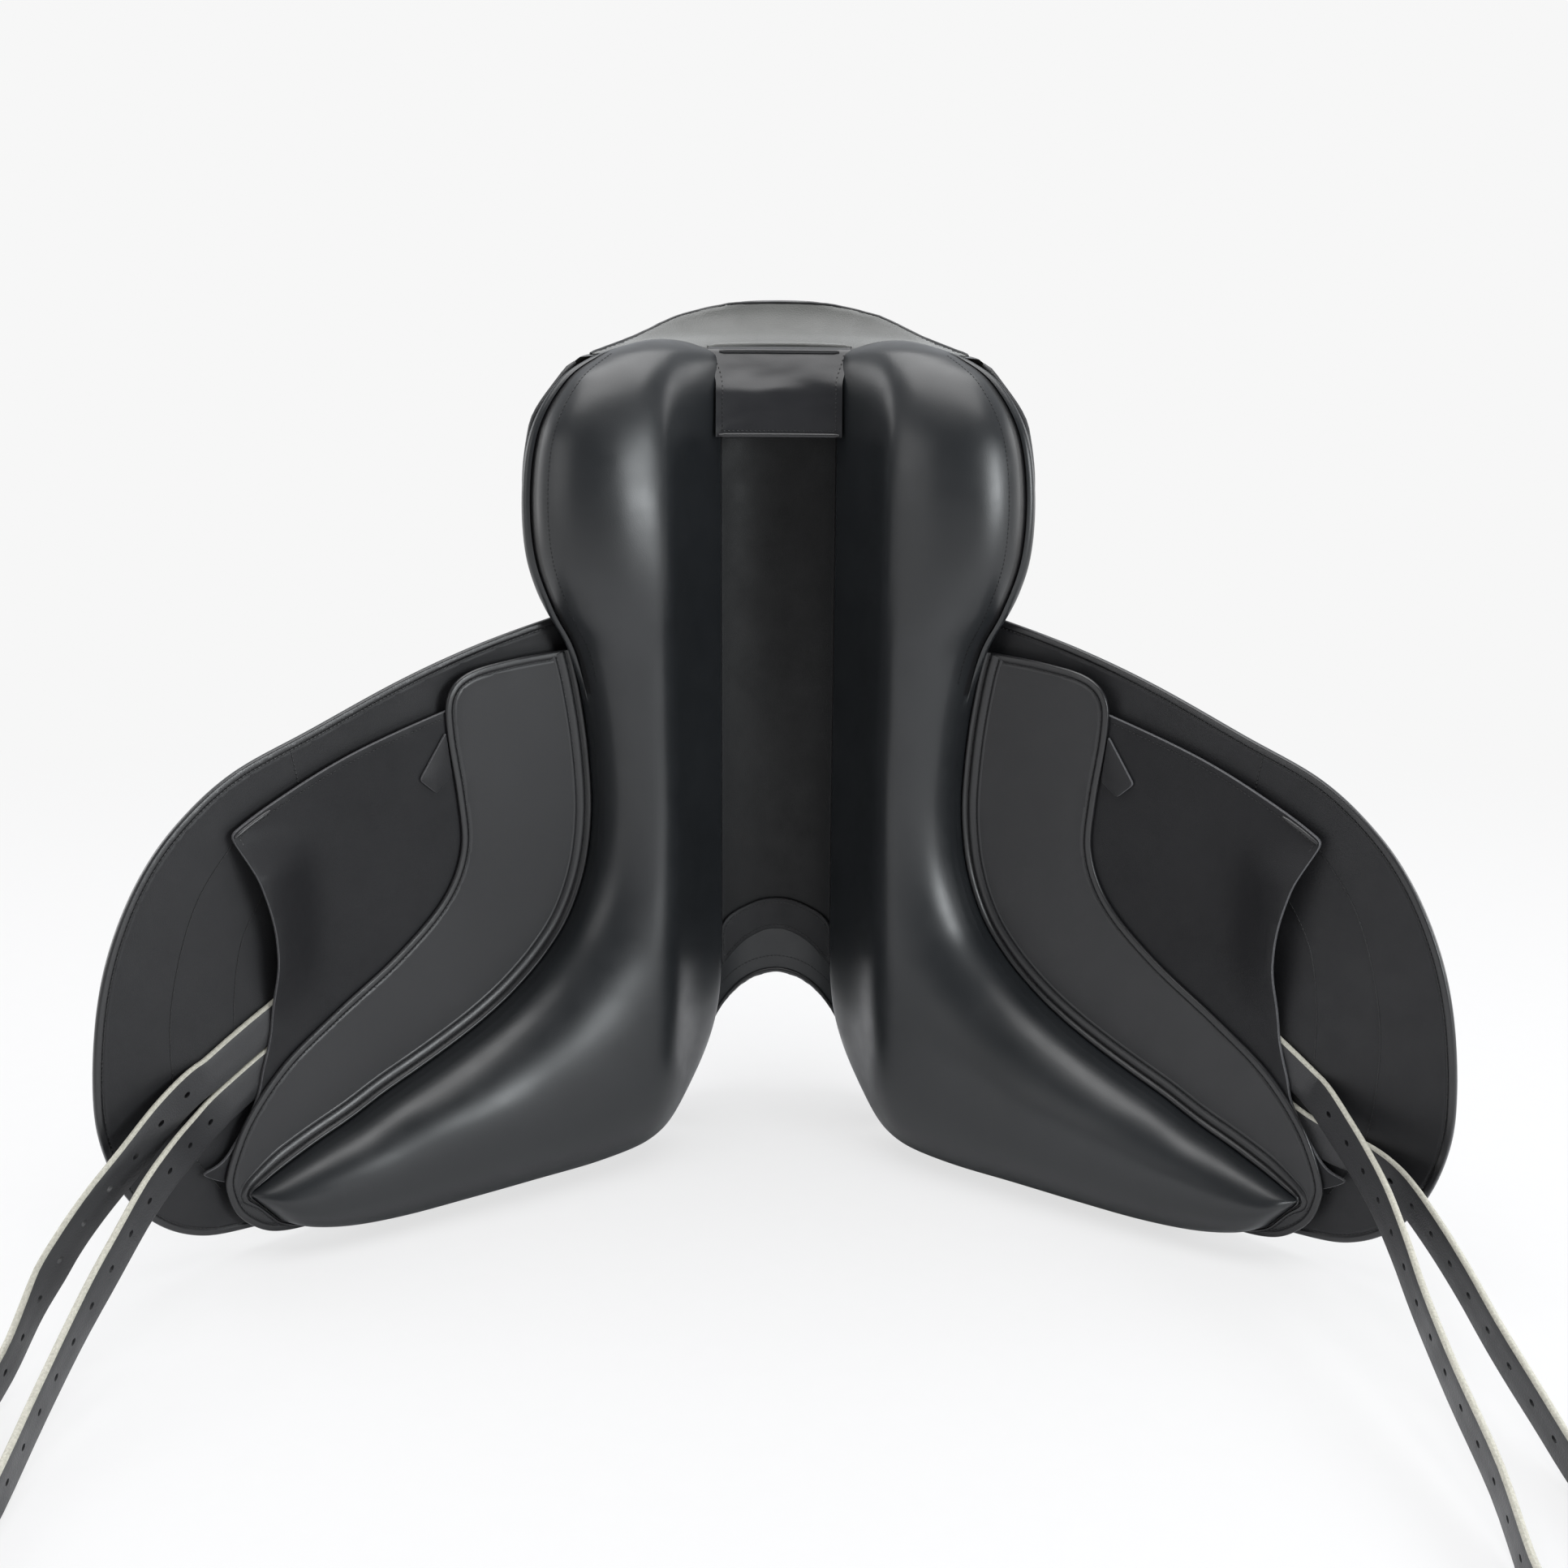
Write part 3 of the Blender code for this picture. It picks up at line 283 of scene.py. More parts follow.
def node(tree, kind, inputs, out=0, **settings):
    """An output of a new node."""
    made = tree.nodes.new("ShaderNode" + kind)
    for key, value in settings.items():
        setattr(made, key, value)
    fill(tree, made, inputs)
    return made.outputs[out]


def principled(name):
    material = bpy.data.materials.new(name)
    material.use_nodes = True
    tree = material.node_tree
    return material, tree, tree.nodes["Principled BSDF"]


def texture_space(tree, scale=(1.0, 1.0, 1.0)):
    return node(tree, "Mapping", {"Vector": node(tree, "TexCoord", {}, "Object"), "Scale": scale})


def noise_node(tree, vector, scale, detail=3.0):
    return node(tree, "TexNoise", {"Vector": vector, "Scale": scale, "Detail": detail,
                                   "Roughness": 0.55}, "Fac")


def wave_node(tree, vector, direction, scale, distortion, detail=2.0):
    return node(tree, "TexWave", {"Vector": vector, "Scale": scale, "Distortion": distortion,
                                  "Detail": detail}, "Fac", bands_direction=direction)


def woven(tree, vector):
    """Two crossing waves of yarn."""
    first, second = (wave_node(tree, vector, way, 260.0, 0.4) for way in "XZ")
    return node(tree, "Math", {0: first, 1: second}, operation="MULTIPLY")


def ranged(tree, value, low, high, from_low=0.3, from_high=0.7):
    return node(tree, "MapRange", {"Value": value, "From Min": from_low, "From Max": from_high,
                                   "To Min": low, "To Max": high})


def blended(tree, value, low, high):
    return node(tree, "Mix", {0: value, 6: low, 7: high}, 2, data_type="RGBA")


def coloured(tree, value, colours):
    """A colour between two that are given in ten-thousandths."""
    return blended(tree, value, *((*colour, 1.0) for colour in table(colours)))


def bumped(tree, shader, height, strength, distance):
    inputs = {"Height": height, "Strength": strength, "Distance": distance}
    for link in shader.inputs["Normal"].links:
        inputs["Normal"] = link.from_socket
    fill(tree, shader, {"Normal": node(tree, "Bump", inputs)})


def leather(name, colours, rough, grain, pores, sheen=0.0, coat=0.0, gloss=0.45):
    """Grained leather: cells of grain, fine pores, and slow changes of colour and gloss."""
    material, tree, shader = principled(name)
    space = texture_space(tree)
    cells = node(tree, "TexVoronoi", {"Vector": space, "Scale": grain, "Smoothness": 0.35,
                                      "Randomness": 1.0}, "Distance", feature="SMOOTH_F1")
    slow = ranged(tree, noise_node(tree, space, 9.0), 0.0, 1.0)
    worn = noise_node(tree, space, 46.0, detail=5.0)
    fill(tree, shader, {"Base Color": coloured(tree, slow, colours),
                        "Roughness": ranged(tree, worn, rough * 0.88, rough * 1.14),
                        "Specular IOR Level": gloss, "Sheen Weight": sheen,
                        "Sheen Roughness": 0.4, "Coat Weight": coat, "Coat Roughness": 0.28})
    bumped(tree, shader, cells, pores, 0.0005)
    bumped(tree, shader, noise_node(tree, space, 1900.0, detail=2.0), pores * 0.6, 0.0002)
    return material


def patterned(name, pattern, colours, rough, bump, spread=False, stretch=(1.0, 1.0, 1.0),
              others=()):
    """A material whose colour and bumps follow one pattern; rough is a value or a range."""
    material, tree, shader = principled(name)
    value = pattern(tree, texture_space(tree, stretch))
    share = ranged(tree, value, 0.0, 1.0) if spread else value
    fill(tree, shader, {"Base Color": coloured(tree, share, colours),
                        "Roughness": ranged(tree, value, *rough)
                        if isinstance(rough, tuple) else rough, **dict(others)})
    bumped(tree, shader, value, *bump)
    return material


def cut_edge(name, colours):
    """The cut side of leather, where the fibres show."""
    return patterned(name, lambda tree, space: noise_node(tree, space, 700.0, 4.0), colours,
                     0.62, (0.35, 0.0003), spread=True)


PANEL_LEATHER = leather("panel_leather", "92 104 118, 128 142 160", 0.36, 1500.0, 0.06, coat=0.18)
FLAP_LEATHER = leather("flap_leather", "105 105 118, 145 145 160", 0.50, 1300.0, 0.12, gloss=0.33)
SWEAT_LEATHER = leather("sweat_leather", "125 127 140, 165 167 182", 0.37, 1300.0, 0.08, coat=0.10)
GUARD_LEATHER = leather("guard_leather", "95 95 108, 130 130 145", 0.52, 1300.0, 0.12, gloss=0.25)
BOUND_EDGE = leather("bound_edge", "120 120 130, 160 160 172", 0.34, 1300.0, 0.10, coat=0.15)
SEAT_LEATHER = leather("seat_leather", "140 142 150, 190 193 202", 0.44, 1000.0, 0.25, sheen=0.08)
# Pale grey-green: a painted sheen of grazing overhead light on what is black leather, for the
# cantle's rear face
CANTLE_PAINTED_SHEEN = leather("cantle_leather", "640 655 620, 840 855 810", 0.50, 1000.0, 0.30,
                         sheen=0.5)
# Black lining, made darker than the other leathers: partly its own colour, partly painted shade of
# the gullet
LINING_AND_SHADE_LEATHER = leather("lining_leather", "60 62 68, 85 87 94", 0.50, 1400.0, 0.10, gloss=0.28)
BRIDGE_LEATHER = leather("bridge_leather", "110 112 128, 150 152 172", 0.33, 1500.0, 0.05,
                         coat=0.12)
BILLET_LEATHER = leather("billet_leather", "240 240 256, 340 340 356", 0.46, 900.0, 0.25)
BILLET_EDGE = cut_edge("billet_edge", "3300 3200 2700, 5000 4850 4200")
FLAP_EDGE = cut_edge("flap_edge", "500 500 540, 900 900 950")
THREAD = patterned("thread", lambda tree, space: noise_node(tree, space, 2600.0, 1.0),
                   "40 40 45, 64 64 72", 0.38, (0.4, 0.0002))
WEBBING = patterned("webbing", woven, "3000 2800 2200, 5600 5300 4400", 0.85, (0.7, 0.0006))
WOOD = patterned("laminated_wood",
                 lambda tree, space: wave_node(tree, space, "Y", 70.0, 3.0, 3.0),
                 "3000 1700 800, 5000 3300 1800", 0.5, (0.2, 0.0003),
                 stretch=(0.4, 1.0, 0.15), others={"Coat Weight": 0.2})
STEEL = patterned("brushed_steel", lambda tree, space: noise_node(tree, space, 40.0, 4.0),
                  "4600 4600 4700, 6000 6000 6000", (0.26, 0.42), (0.15, 0.0002),
                  stretch=(30.0, 30.0, 1.0), others={"Metallic": 1.0})


# Pieces

def linked(name, data):
    thing = bpy.data.objects.new(name, data)
    bpy.context.scene.collection.objects.link(thing)
    return thing


class Shape:
    """Vertices, faces and a material number for each face, gathered for one piece."""

    def __init__(self, *materials):
        self.materials = materials
        self.verts, self.faces, self.numbers = [], [], []

    def add(self, verts, faces, number=0, base=None):
        """Adds faces that count from base, or else from the first of these verts."""
        base = len(self.verts) if base is None else base
        self.verts.extend(tuple(v) for v in verts)
        self.faces.extend(tuple(base + i for i in face) for face in faces)
        self.numbers.extend([number] * len(faces) if isinstance(number, int) else number)

    def build(self, name, sharp=50.0):
        mesh = bpy.data.meshes.new(name)
        mesh.from_pydata(self.verts, [], self.faces)
        mesh.polygons.foreach_set("material_index", self.numbers)
        for material in self.materials:
            mesh.materials.append(material)
        mesh.validate()
        mesh.shade_smooth()
        mesh.set_sharp_from_angle(angle=radians(sharp))
        return linked(name, mesh)


def grid_faces(rows, columns, closed=False):
    """Quads of a grid; closed joins the last column to the first."""
    faces = []
    for r in range(rows - 1):
        for c in range(columns if closed else columns - 1):
            d = (c + 1) % columns
            faces.append((r * columns + c, r * columns + d,
                          (r + 1) * columns + d, (r + 1) * columns + c))
    return faces


def loft(rings):
    """Verts and faces of a closed body through rings with the same number of points."""
    columns = len(rings[0])
    verts = [p for ring in rings for p in ring]
    faces = grid_faces(len(rings), columns, closed=True)
    faces.append(tuple(range(columns))[::-1])
    faces.append(tuple(range((len(rings) - 1) * columns, len(rings) * columns)))
    return verts, faces


def tube(points, radius, sides=8):
    """A round bar along points, drawn in at both ends."""
    rings = []
    normal = None
    for i, (point, ahead) in enumerate(zip(points, headings(points))):
        if normal is None:
            normal = ahead.orthogonal().normalized()
        normal = (normal - ahead * normal.dot(ahead)).normalized()
        other = ahead.cross(normal)
        wide = radius * (0.55 if i in (0, len(points) - 1) else 1.0)
        rings.append([Vector(point) + (normal * cos(tau * k / sides)
                                       + other * sin(tau * k / sides)) * wide
                      for k in range(sides)])
    return loft(rings)


STITCH_VERTS = np.array(
    [(-1.0, 0.0, 0.0)]
    + [(x, cos(tau * k / 4 + pi / 4), sin(tau * k / 4 + pi / 4))
       for x in (-0.62, 0.62) for k in range(4)]
    + [(1.0, 0.0, 0.0)])
STITCH_FACES = ([(0, 1 + (k + 1) % 4, 1 + k) for k in range(4)]
                + [(1 + k, 1 + (k + 1) % 4, 5 + (k + 1) % 4, 5 + k) for k in range(4)]
                + [(5 + k, 5 + (k + 1) % 4, 9) for k in range(4)])


def add_stitches(shape, points, normals, number, sink=0.00005):
    """Stitches between points a pitch apart, lying on a surface with these normals."""
    for i in range(len(points) - 1):
        a, b = Vector(points[i]), Vector(points[i + 1])
        ahead = b - a
        if not 0.4 < ahead.length / STITCH_PITCH < 2.5:
            continue
        ahead.normalize()
        up = Vector(normals[i])
        up = (up - ahead * up.dot(ahead)).normalized()
        out = ahead.cross(up)
        ahead = (ahead + out * STITCH_SLANT).normalized()
        out = ahead.cross(up)
        centre = (a + b) / 2 - up * sink
        basis = np.array([ahead * STITCH_LONG / 2, out * STITCH_THICK, up * STITCH_THICK])
        shape.add(STITCH_VERTS @ basis + np.array(centre), STITCH_FACES, number)


def sheet_normal(point, s, t, z):
    """The way that t grows at a place on a bent sheet."""
    return (point(s, t + 0.0006, z) - point(s, t, z)).normalized()


def at_level(level, s, z):
    return level(s, z) if callable(level) else level


def stitch_on_sheet(shape, path, level, point, number, face=-1, closed=False, lift=0.0001):
    """A row of stitches along a path of (s, z) on one face of a sheet.

    level is t of that face or gives it, and face is -1 on the horse's side and 1 on the rider's.
    """
    line = [tuple(p) for p in spaced(path, STITCH_PITCH, closed)]
    if closed:
        line.append(line[0])
    points, normals = [], []
    for s, z in line:
        t = at_level(level, s, z) + face * lift
        points.append(point(s, t, z))
        normals.append(sheet_normal(point, s, t, z) * face)
    add_stitches(shape, points, normals, number)


def round_profile(thick, radius=0.0014, seam=None, groove=0.0006, proud=0.0003):
    """(distance from the edge, how far both faces lie in from flat) for a rounded edge.

    With a seam, the band outside it stands proud and both faces dip where the stitches pull.
    """
    radius = min(radius, thick * 0.46)
    rows = [(radius * (1.0 - cos(a)), radius * (1.0 - sin(a)))
            for a in (0.0, pi / 6, pi / 3, pi / 2)]
    if seam:
        rows += [(mix(radius, seam, 0.45), -proud), (seam - 0.0013, -proud * 0.8),
                 (seam - 0.0005, groove * 0.7), (seam, groove), (seam + 0.0005, groove * 0.7),
                 (seam + 0.0013, -proud * 0.3), (seam + 0.0028, 0.0)]
    return rows


def add_sheet(shape, outline, level, thick, point, profile, cell=0.0075, band=None,
              rim=0.0002, numbers=(0, 0, 0), seam_shade=None):
    """A bent sheet of leather with a rounded edge.

    outline is (s, z), level is t of the low face. numbers are the materials of the field, of
    the band along the edge as far as band, and of the cut edge as far as rim; seam_shade is the
    material of a dark line painted along the seam at band as its shade.
    """
    flat = bmesh.new()
    rings = []
    for distance, _ in profile:
        rings.append([flat.verts.new((s, z, distance)) for s, z in inset(outline, distance)])
    for a, b in zip(rings, rings[1:]):
        for i in range(len(outline)):
            j = (i + 1) % len(outline)
            flat.faces.new([a[i], a[j], b[j], b[i]])
    flat.faces.new(rings[-1])
    bmesh.ops.remove_doubles(flat, verts=flat.verts, dist=2e-5)
    for axis, normal in enumerate((Vector((1.0, 0.0, 0.0)), Vector((0.0, 1.0, 0.0)))):
        values = [v.co[axis] for v in flat.verts]
        least, most = min(values), max(values)
        for k in range(int(least / cell) - 1, int(most / cell) + 2):
            if least < k * cell < most:
                bmesh.ops.bisect_plane(flat, geom=flat.verts[:] + flat.edges[:] + flat.faces[:],
                                       dist=1e-5, plane_co=normal * (k * cell), plane_no=normal)
    bmesh.ops.triangulate(flat, faces=[f for f in flat.faces if len(f.verts) > 4])
    flat.verts.index_update()
    low, high = [], []
    for vert in flat.verts:
        s, z, distance = vert.co
        drop = float(np.interp(distance, *zip(*profile)))
        t = at_level(level, s, z)
        low.append(point(s, t + drop, z))
        high.append(point(s, t + thick - drop, z))
    count = len(low)
    faces, kinds = [], []
    for face in flat.faces:
        ids = [v.index for v in face.verts]
        faces += [tuple(ids[::-1]), tuple(i + count for i in ids)]
        middle = sum(v.co.z for v in face.verts) / len(ids)
        kind = numbers[2] if middle < rim else numbers[1] if band and middle < band else numbers[0]
        # Faces along the seam take a dark material: painted shade of the seam's groove
        if seam_shade and abs(middle - band) < SEAM_SHADE:
            kind = seam_shade
        kinds += [kind, kind]
    for a, b in [[v.index for v in edge.verts] for edge in flat.edges if edge.is_boundary]:
        faces.append((a, b, b + count, a + count))
        kinds.append(numbers[2])
    flat.free()
    shape.add(low + high, faces, kinds)


def add_bound_sheet(shape, outline, low, thick, point, faces, radius=0.0013, numbers=(0, 1, 1)):
    """A sheet with its edge bound, and its row of stitches on the faces named."""
    add_sheet(shape, outline, low, thick, point, round_profile(thick, radius, seam=EDGE_SEAM),
              band=EDGE_SEAM, numbers=numbers, seam_shade=3)
    for face in faces:
        stitch_on_sheet(shape, inset(outline, EDGE_SEAM), low + (thick if face > 0 else 0.0),
                        point, 3, face, closed=True, lift=SEWN_IN)


def tidy_normals(thing):
    """Turns every face outwards."""
    bm = bmesh.new()
    bm.from_mesh(thing.data)
    bmesh.ops.recalc_face_normals(bm, faces=bm.faces)
    bm.to_mesh(thing.data)
    bm.free()


def finish_piece(thing, body, slot, *nodes):
    """The piece hides the nodes it stands for, and rides on body unless that is a tuple."""
    tidy_normals(thing)
    if isinstance(body, tuple):
        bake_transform(thing)
    else:
        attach(thing, body)
    if nodes:
        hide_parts(*nodes)
    return thing


# Outlines, as the frame has them
FLAP_OUTER = table("450 4010, 600 3990, 1170 3860, 1740 3690, 2400 3450, 2960 3250, 3350 2990, "
                   "3620 2700, 3830 2330, 3960 1930, 4030 1450, 4020 1070, 3900 680, 3680 380, "
                   "3380 200, 3000 140")
FLAP_FRONT = table("3000 140, 2200 180, 1200 380, 450 700")
FLAP_TOP = table("-310 4030, 450 4010")
FLAP_INSIDE = table("450 700, 20 880")
FLAP_STEP = table("20 1510, -310 1510, -310 4030")
GUARD_TOP = table("520 3620, 1000 3560, 1470 3460, 2190 3260, 2760 3030, 3050 2880")
GUARD_FREE = table("3050 2880, 2920 2540, 2840 2200, 2840 1800, 2850 1560, 2890 1390, "
                   "2940 1240, 2970 1120, 3050 970, 3160 820, 3270 710, 3420 680")
GUARD_FRONT = table("3420 680, 3290 590, 3150 530, 3000 500, 2200 500, 1200 740, 520 1200")
SWEAT_TOP = table("300 3790, 570 3780, 1000 3755, 1320 3700, 1470 3560, 1480 3300, 1420 2850, "
                  "1410 2480, 1570 2150, 1940 1830, 2410 1540, 2800 1280, 3080 980, 3220 720, "
                  "3270 560")
SWEAT_FRONT = table("3270 560, 3220 370, 3110 230, 2930 120, 2600 80, 2000 100, 1200 240, "
                    "600 620, 300 1000")
SKIRT_OUTER = table("-20 3580, 400 3560, 780 3260, 940 2800, 920 2200, 780 1780, 400 1580, "
                    "-20 1530")
TAB_OUTLINE = table("1492 3320, 1700 3020, 1580 2910, 1455 3000")

# Rows of stitches inside the outer flap, where the knee block is sewn on, and its join
FLAP_ROWS = (table("2900 2900, 3250 2500, 3450 2000, 3520 1500, 3460 900, 3250 500"),
             table("2680 2600, 2960 2200, 3060 1800, 3080 1400"))
FLAP_JOIN = table("2560 3340, 2520 3080")
HINGE_AT = 0.2350              # height of the two points on the flap's hinge line
HINGE_REACH = 0.0100           # how far those points lie along s on either side of the hinge line


def outer_flap(side):
    """The outer flap with its root: one piece of leather across the hinge line."""
    name = side_name(side)
    point = on_side(side)
    outline = leather_outline(FLAP_TOP, FLAP_OUTER, FLAP_FRONT, FLAP_INSIDE, FLAP_STEP)
    shape = Shape(FLAP_LEATHER, BOUND_EDGE, FLAP_EDGE, THREAD)
    add_bound_sheet(shape, outline, FLAP_LOW, FLAP_THICK, point, (-1,), FLAP_ROUND)
    # On the rider's face a sunk row doubles the inner one
    stitch_on_sheet(shape, curve_through(FLAP_ROWS[1], 8), FLAP_LOW + FLAP_THICK, point, 3, 1,
                    closed=True, lift=SEWN_IN)
    for face, level in ((-1, FLAP_LOW), (1, FLAP_LOW + FLAP_THICK)):
        for path in FLAP_ROWS:
            row = curve_through(path, 8)
            stitch_on_sheet(shape, row, level, point, 3, face)
            # A thin dark bar in the thread's colour along each row: painted shade of the seam's
            # groove
            shape.add(*tube([point(s, level, z) for s, z in spaced(row, 0.005)], SEAM_SHADE), 3)
        stitch_on_sheet(shape, FLAP_JOIN, level, point, 3, face)
    thing = shape.build("flap_leather_" + name)
    bend = ("saddle", "flap_" + name, point(FLAP_HINGE - HINGE_REACH, 0.0, HINGE_AT),
            point(FLAP_HINGE + HINGE_REACH, 0.0, HINGE_AT))
    finish_piece(thing, bend, "flap_leather", "outer_flap_" + name, "flap_root_" + name)


KNEE_BLOCK = table("2500 2900, 3000 2600, 3300 2100, 3450 1500, 3380 900, 3100 560")
KNEE_BLOCK_WIDE = 0.0500
KNEE_BLOCK_HIGH = 0.0300
KNEE_BLOCK_SIDES = 24
KNEE_BORDER = 0.003            # from the block to the cord sewn round it
KNEE_CORD = 0.0010
KNEE_ENDS = 1.2                # rows by which the rounding runs on past each end
KNEE_WIDE_END = (0.20, 0.55)   # share of the width left at the ends, and how it gets there
KNEE_HIGH_END = (0.12, 0.9)    # the same for the height
KNEE_ROUND = 0.72              # how full its section is
KNEE_LUMPS = (30.0, 0.0006)    # how fast its lumps change, and how high they are


def knee_block(side):
    """The padded knee roll on the flap's outer face, with its sewn border."""
    name = side_name(side)
    face = FLAP_LOW + FLAP_THICK
    path = curve_through(KNEE_BLOCK, 14)
    last = len(path) - 1
    fast, lumpy = KNEE_LUMPS
    rings, borders = [], ([], [])
    for i, ((s, z), ahead) in enumerate(zip(path, headings(path))):
        share = sin(pi * (i + KNEE_ENDS) / (last + 2.0 * KNEE_ENDS))
        half = KNEE_BLOCK_WIDE / 2 * mix(KNEE_WIDE_END[0], 1.0, share ** KNEE_WIDE_END[1])
        high = KNEE_BLOCK_HIGH * mix(KNEE_HIGH_END[0], 1.0, share ** KNEE_HIGH_END[1])
        ring = []
        for angle in np.linspace(0.0, pi, KNEE_BLOCK_SIDES + 1):
            offset = half * cos(angle)
            s_at, z_at = s - ahead.y * offset, z + ahead.x * offset
            swell = noise.noise(Vector((s_at * fast, z_at * fast, side))) * lumpy
            lift = face + GAP + (high + swell) * max(sin(angle), 0.0) ** KNEE_ROUND
            ring.append(place(side, s_at, lift, z_at))
        rings.append(ring)
        for border, offset in zip(borders, (half + KNEE_BORDER, -half - KNEE_BORDER)):
            border.append(place(side, s - ahead.y * offset, face + 0.9 * KNEE_CORD,
                                z + ahead.x * offset))
    shape = Shape(FLAP_LEATHER, THREAD, BOUND_EDGE)
    shape.add(*loft(rings), 0)
    for border in borders:
        shape.add(*tube(border[1:-1], KNEE_CORD), 2)
    thing = shape.build("knee_roll_" + name)
    finish_piece(thing, "flap_" + name, "flap_leather", "knee_block_" + name)


GUARD_RISE = 0.0130            # how far the free edge stands off
GUARD_FADE = (0.240, 0.290)    # s from which it starts to, and where it does so in full
GUARD_ROWS = (0.1550, 0.2050, 0.2550, 0.2900)
GUARD_SEAM = 0.0042            # from its edge to its row of stitches
GUARD_SEWN = (0.1500, 0.3050, 0.2800)     # least and most s of that row, and its least height
GUARD_BAR = table("2770 2995, 2900 2935, 3025 2865")


def guard_level(s, z):
    """Height of the guard's low face: its free edge stands off between the straps and the top."""
    above = ease(GUARD_ROWS[0], GUARD_ROWS[1], z)
    below = 1.0 - ease(GUARD_ROWS[2], GUARD_ROWS[3], z)
    return GUARD_LOW - GUARD_RISE * ease(*GUARD_FADE, s) * above * below


def billet_guard(side):
    """The leather over the girth straps."""
    name = side_name(side)
    point = on_side(side)
    outline = leather_outline(GUARD_TOP, GUARD_FREE, GUARD_FRONT)
    shape = Shape(GUARD_LEATHER, FLAP_LEATHER, FLAP_EDGE, THREAD, BOUND_EDGE)
    add_sheet(shape, outline, guard_level, GUARD_THICK, point, round_profile(GUARD_THICK, 0.0009),
              rim=0.0004, numbers=(0, 0, 2))
    least, most, low = GUARD_SEWN
    row = [p for p in inset(outline, GUARD_SEAM) if least < p[0] < most and p[1] > low]
    if row[0][0] > row[-1][0]:
        row.reverse()
    stitch_on_sheet(shape, row, guard_level, point, 3)
    bar = [point(s, guard_level(s, z) - 0.0004, z) for s, z in spaced(GUARD_BAR, 0.004)]
    shape.add(*tube(bar, 0.0015), 4)
    finish_piece(shape.build("strap_guard_" + name), "saddle", "flap_leather",
                 "billet_guard_" + name)


PANEL_RIBS = table("570 5802 1100 5812 120, 450 5745 1270 5750 300, 425 5600 1480 5600 430, "
                   "425 5300 1660 5300 530, 425 4900 1730 4900 580, 425 4450 1720 4450 580, "
                   "425 4050 1620 4080 560, 425 3700 1500 3790 530, 425 3300 1430 3400 510, "
                   "425 2850 1390 3000 500, 425 2300 1380 2600 500, 425 1700 1430 2200 520, "
                   "435 1150 1550 1850 550, 497 780 1720 1590 580, 630 460 1920 1380 600, "
                   "845 200 2110 1230 600, 1120 65 2300 1110 580, 1465 8 2510 995 550, "
                   "1900 0 2730 885 500, 2350 0 2940 765 440, 2700 10 3130 675 380, "
                   "3000 50 3310 580 310, 3220 120 3450 500 230, 3360 200 3520 460 120")
RIB_STEPS = 9                  # rows of the panel's grid from one rib to the next
PANEL_COLUMNS = 46             # and its columns, before those near its rim
GUSSET_ENDS = (0.7, 8.2)       # ribs where the gusset's seam starts and stops
GUSSET_BULGE = 0.0046          # how far the gusset swells out past its seam
WALL_SWELL = (1.4, 0.6)        # powers that set where it swells most, and how fully
SEAM_DEPTH = 0.0013
SEAM_AT = 0.978                # share of the way across where its stitches lie
TOP_ROUND = 0.0050             # how far the panel's top edge rises in its middle
PANEL_CAP = 0.8                # ribs over which each end of the panel rounds off
WING_RIBS = (11.0, 14.5)       # ribs over which the straight panel becomes the wing
CROWN_POWERS = (0.95, 0.5)     # how the inner half rises: straight panel and wing
CROWN_BENDS = (2.0, 2.4)       # how each half falls towards its rim: inner and outer
CAP_LEAST = 0.25               # share of the swell that is left at a panel's very ends
LUMPS = (14.0, 0.0009)         # how fast the stuffing's lumps change, and how high they are
INNER_EDGES = (0.55, 0.22)     # height of the inner rim as a share of the swell, same two
OUTER_EDGE = 0.19              # and of the outer rim
# Shares of the way across near the rim, and how deep each lies in the gusset's seam
RIM_ROWS = ((0.955, 0.0), (0.972, 0.0), (0.984, 0.1), (0.991, 0.5), (0.9955, 0.95), (1.0, 1.0))
WALL_ROWS = (0.0, 0.2, 0.4, 0.6, 0.78, 0.90, 0.97)   # shares of a panel's standing wall
# Each side's own swell: how high, its middle in s and z, and how wide
STUFFING = {-1: (0.0045, 0.0000, 0.4450, 0.050), 1: (0.0035, 0.0000, 0.5000, 0.045)}


# A panel's back steps from the tree to the flap's leather: over which s and which heights it
# does so under the front, where the step is smooth, and at the walls' foot
FRONT_STEP = ((-0.060, 0.020), (0.330, 0.500))
FOOT_STEP = ((-0.045, 0.005), (0.392, 0.420))


def panel_back(step, s, z):
    """Height of what the panel lies against."""
    behind_flap = ease(*step[0], s) * (1.0 - ease(*step[1], z))
    return mix(PANEL_BACK_TREE, PANEL_BACK, behind_flap)


def gusset_depth(u):
    start, stop = GUSSET_ENDS
    return ease(start - 0.5, start + 0.5, u) * (1.0 - ease(stop - 1.4, stop, u))


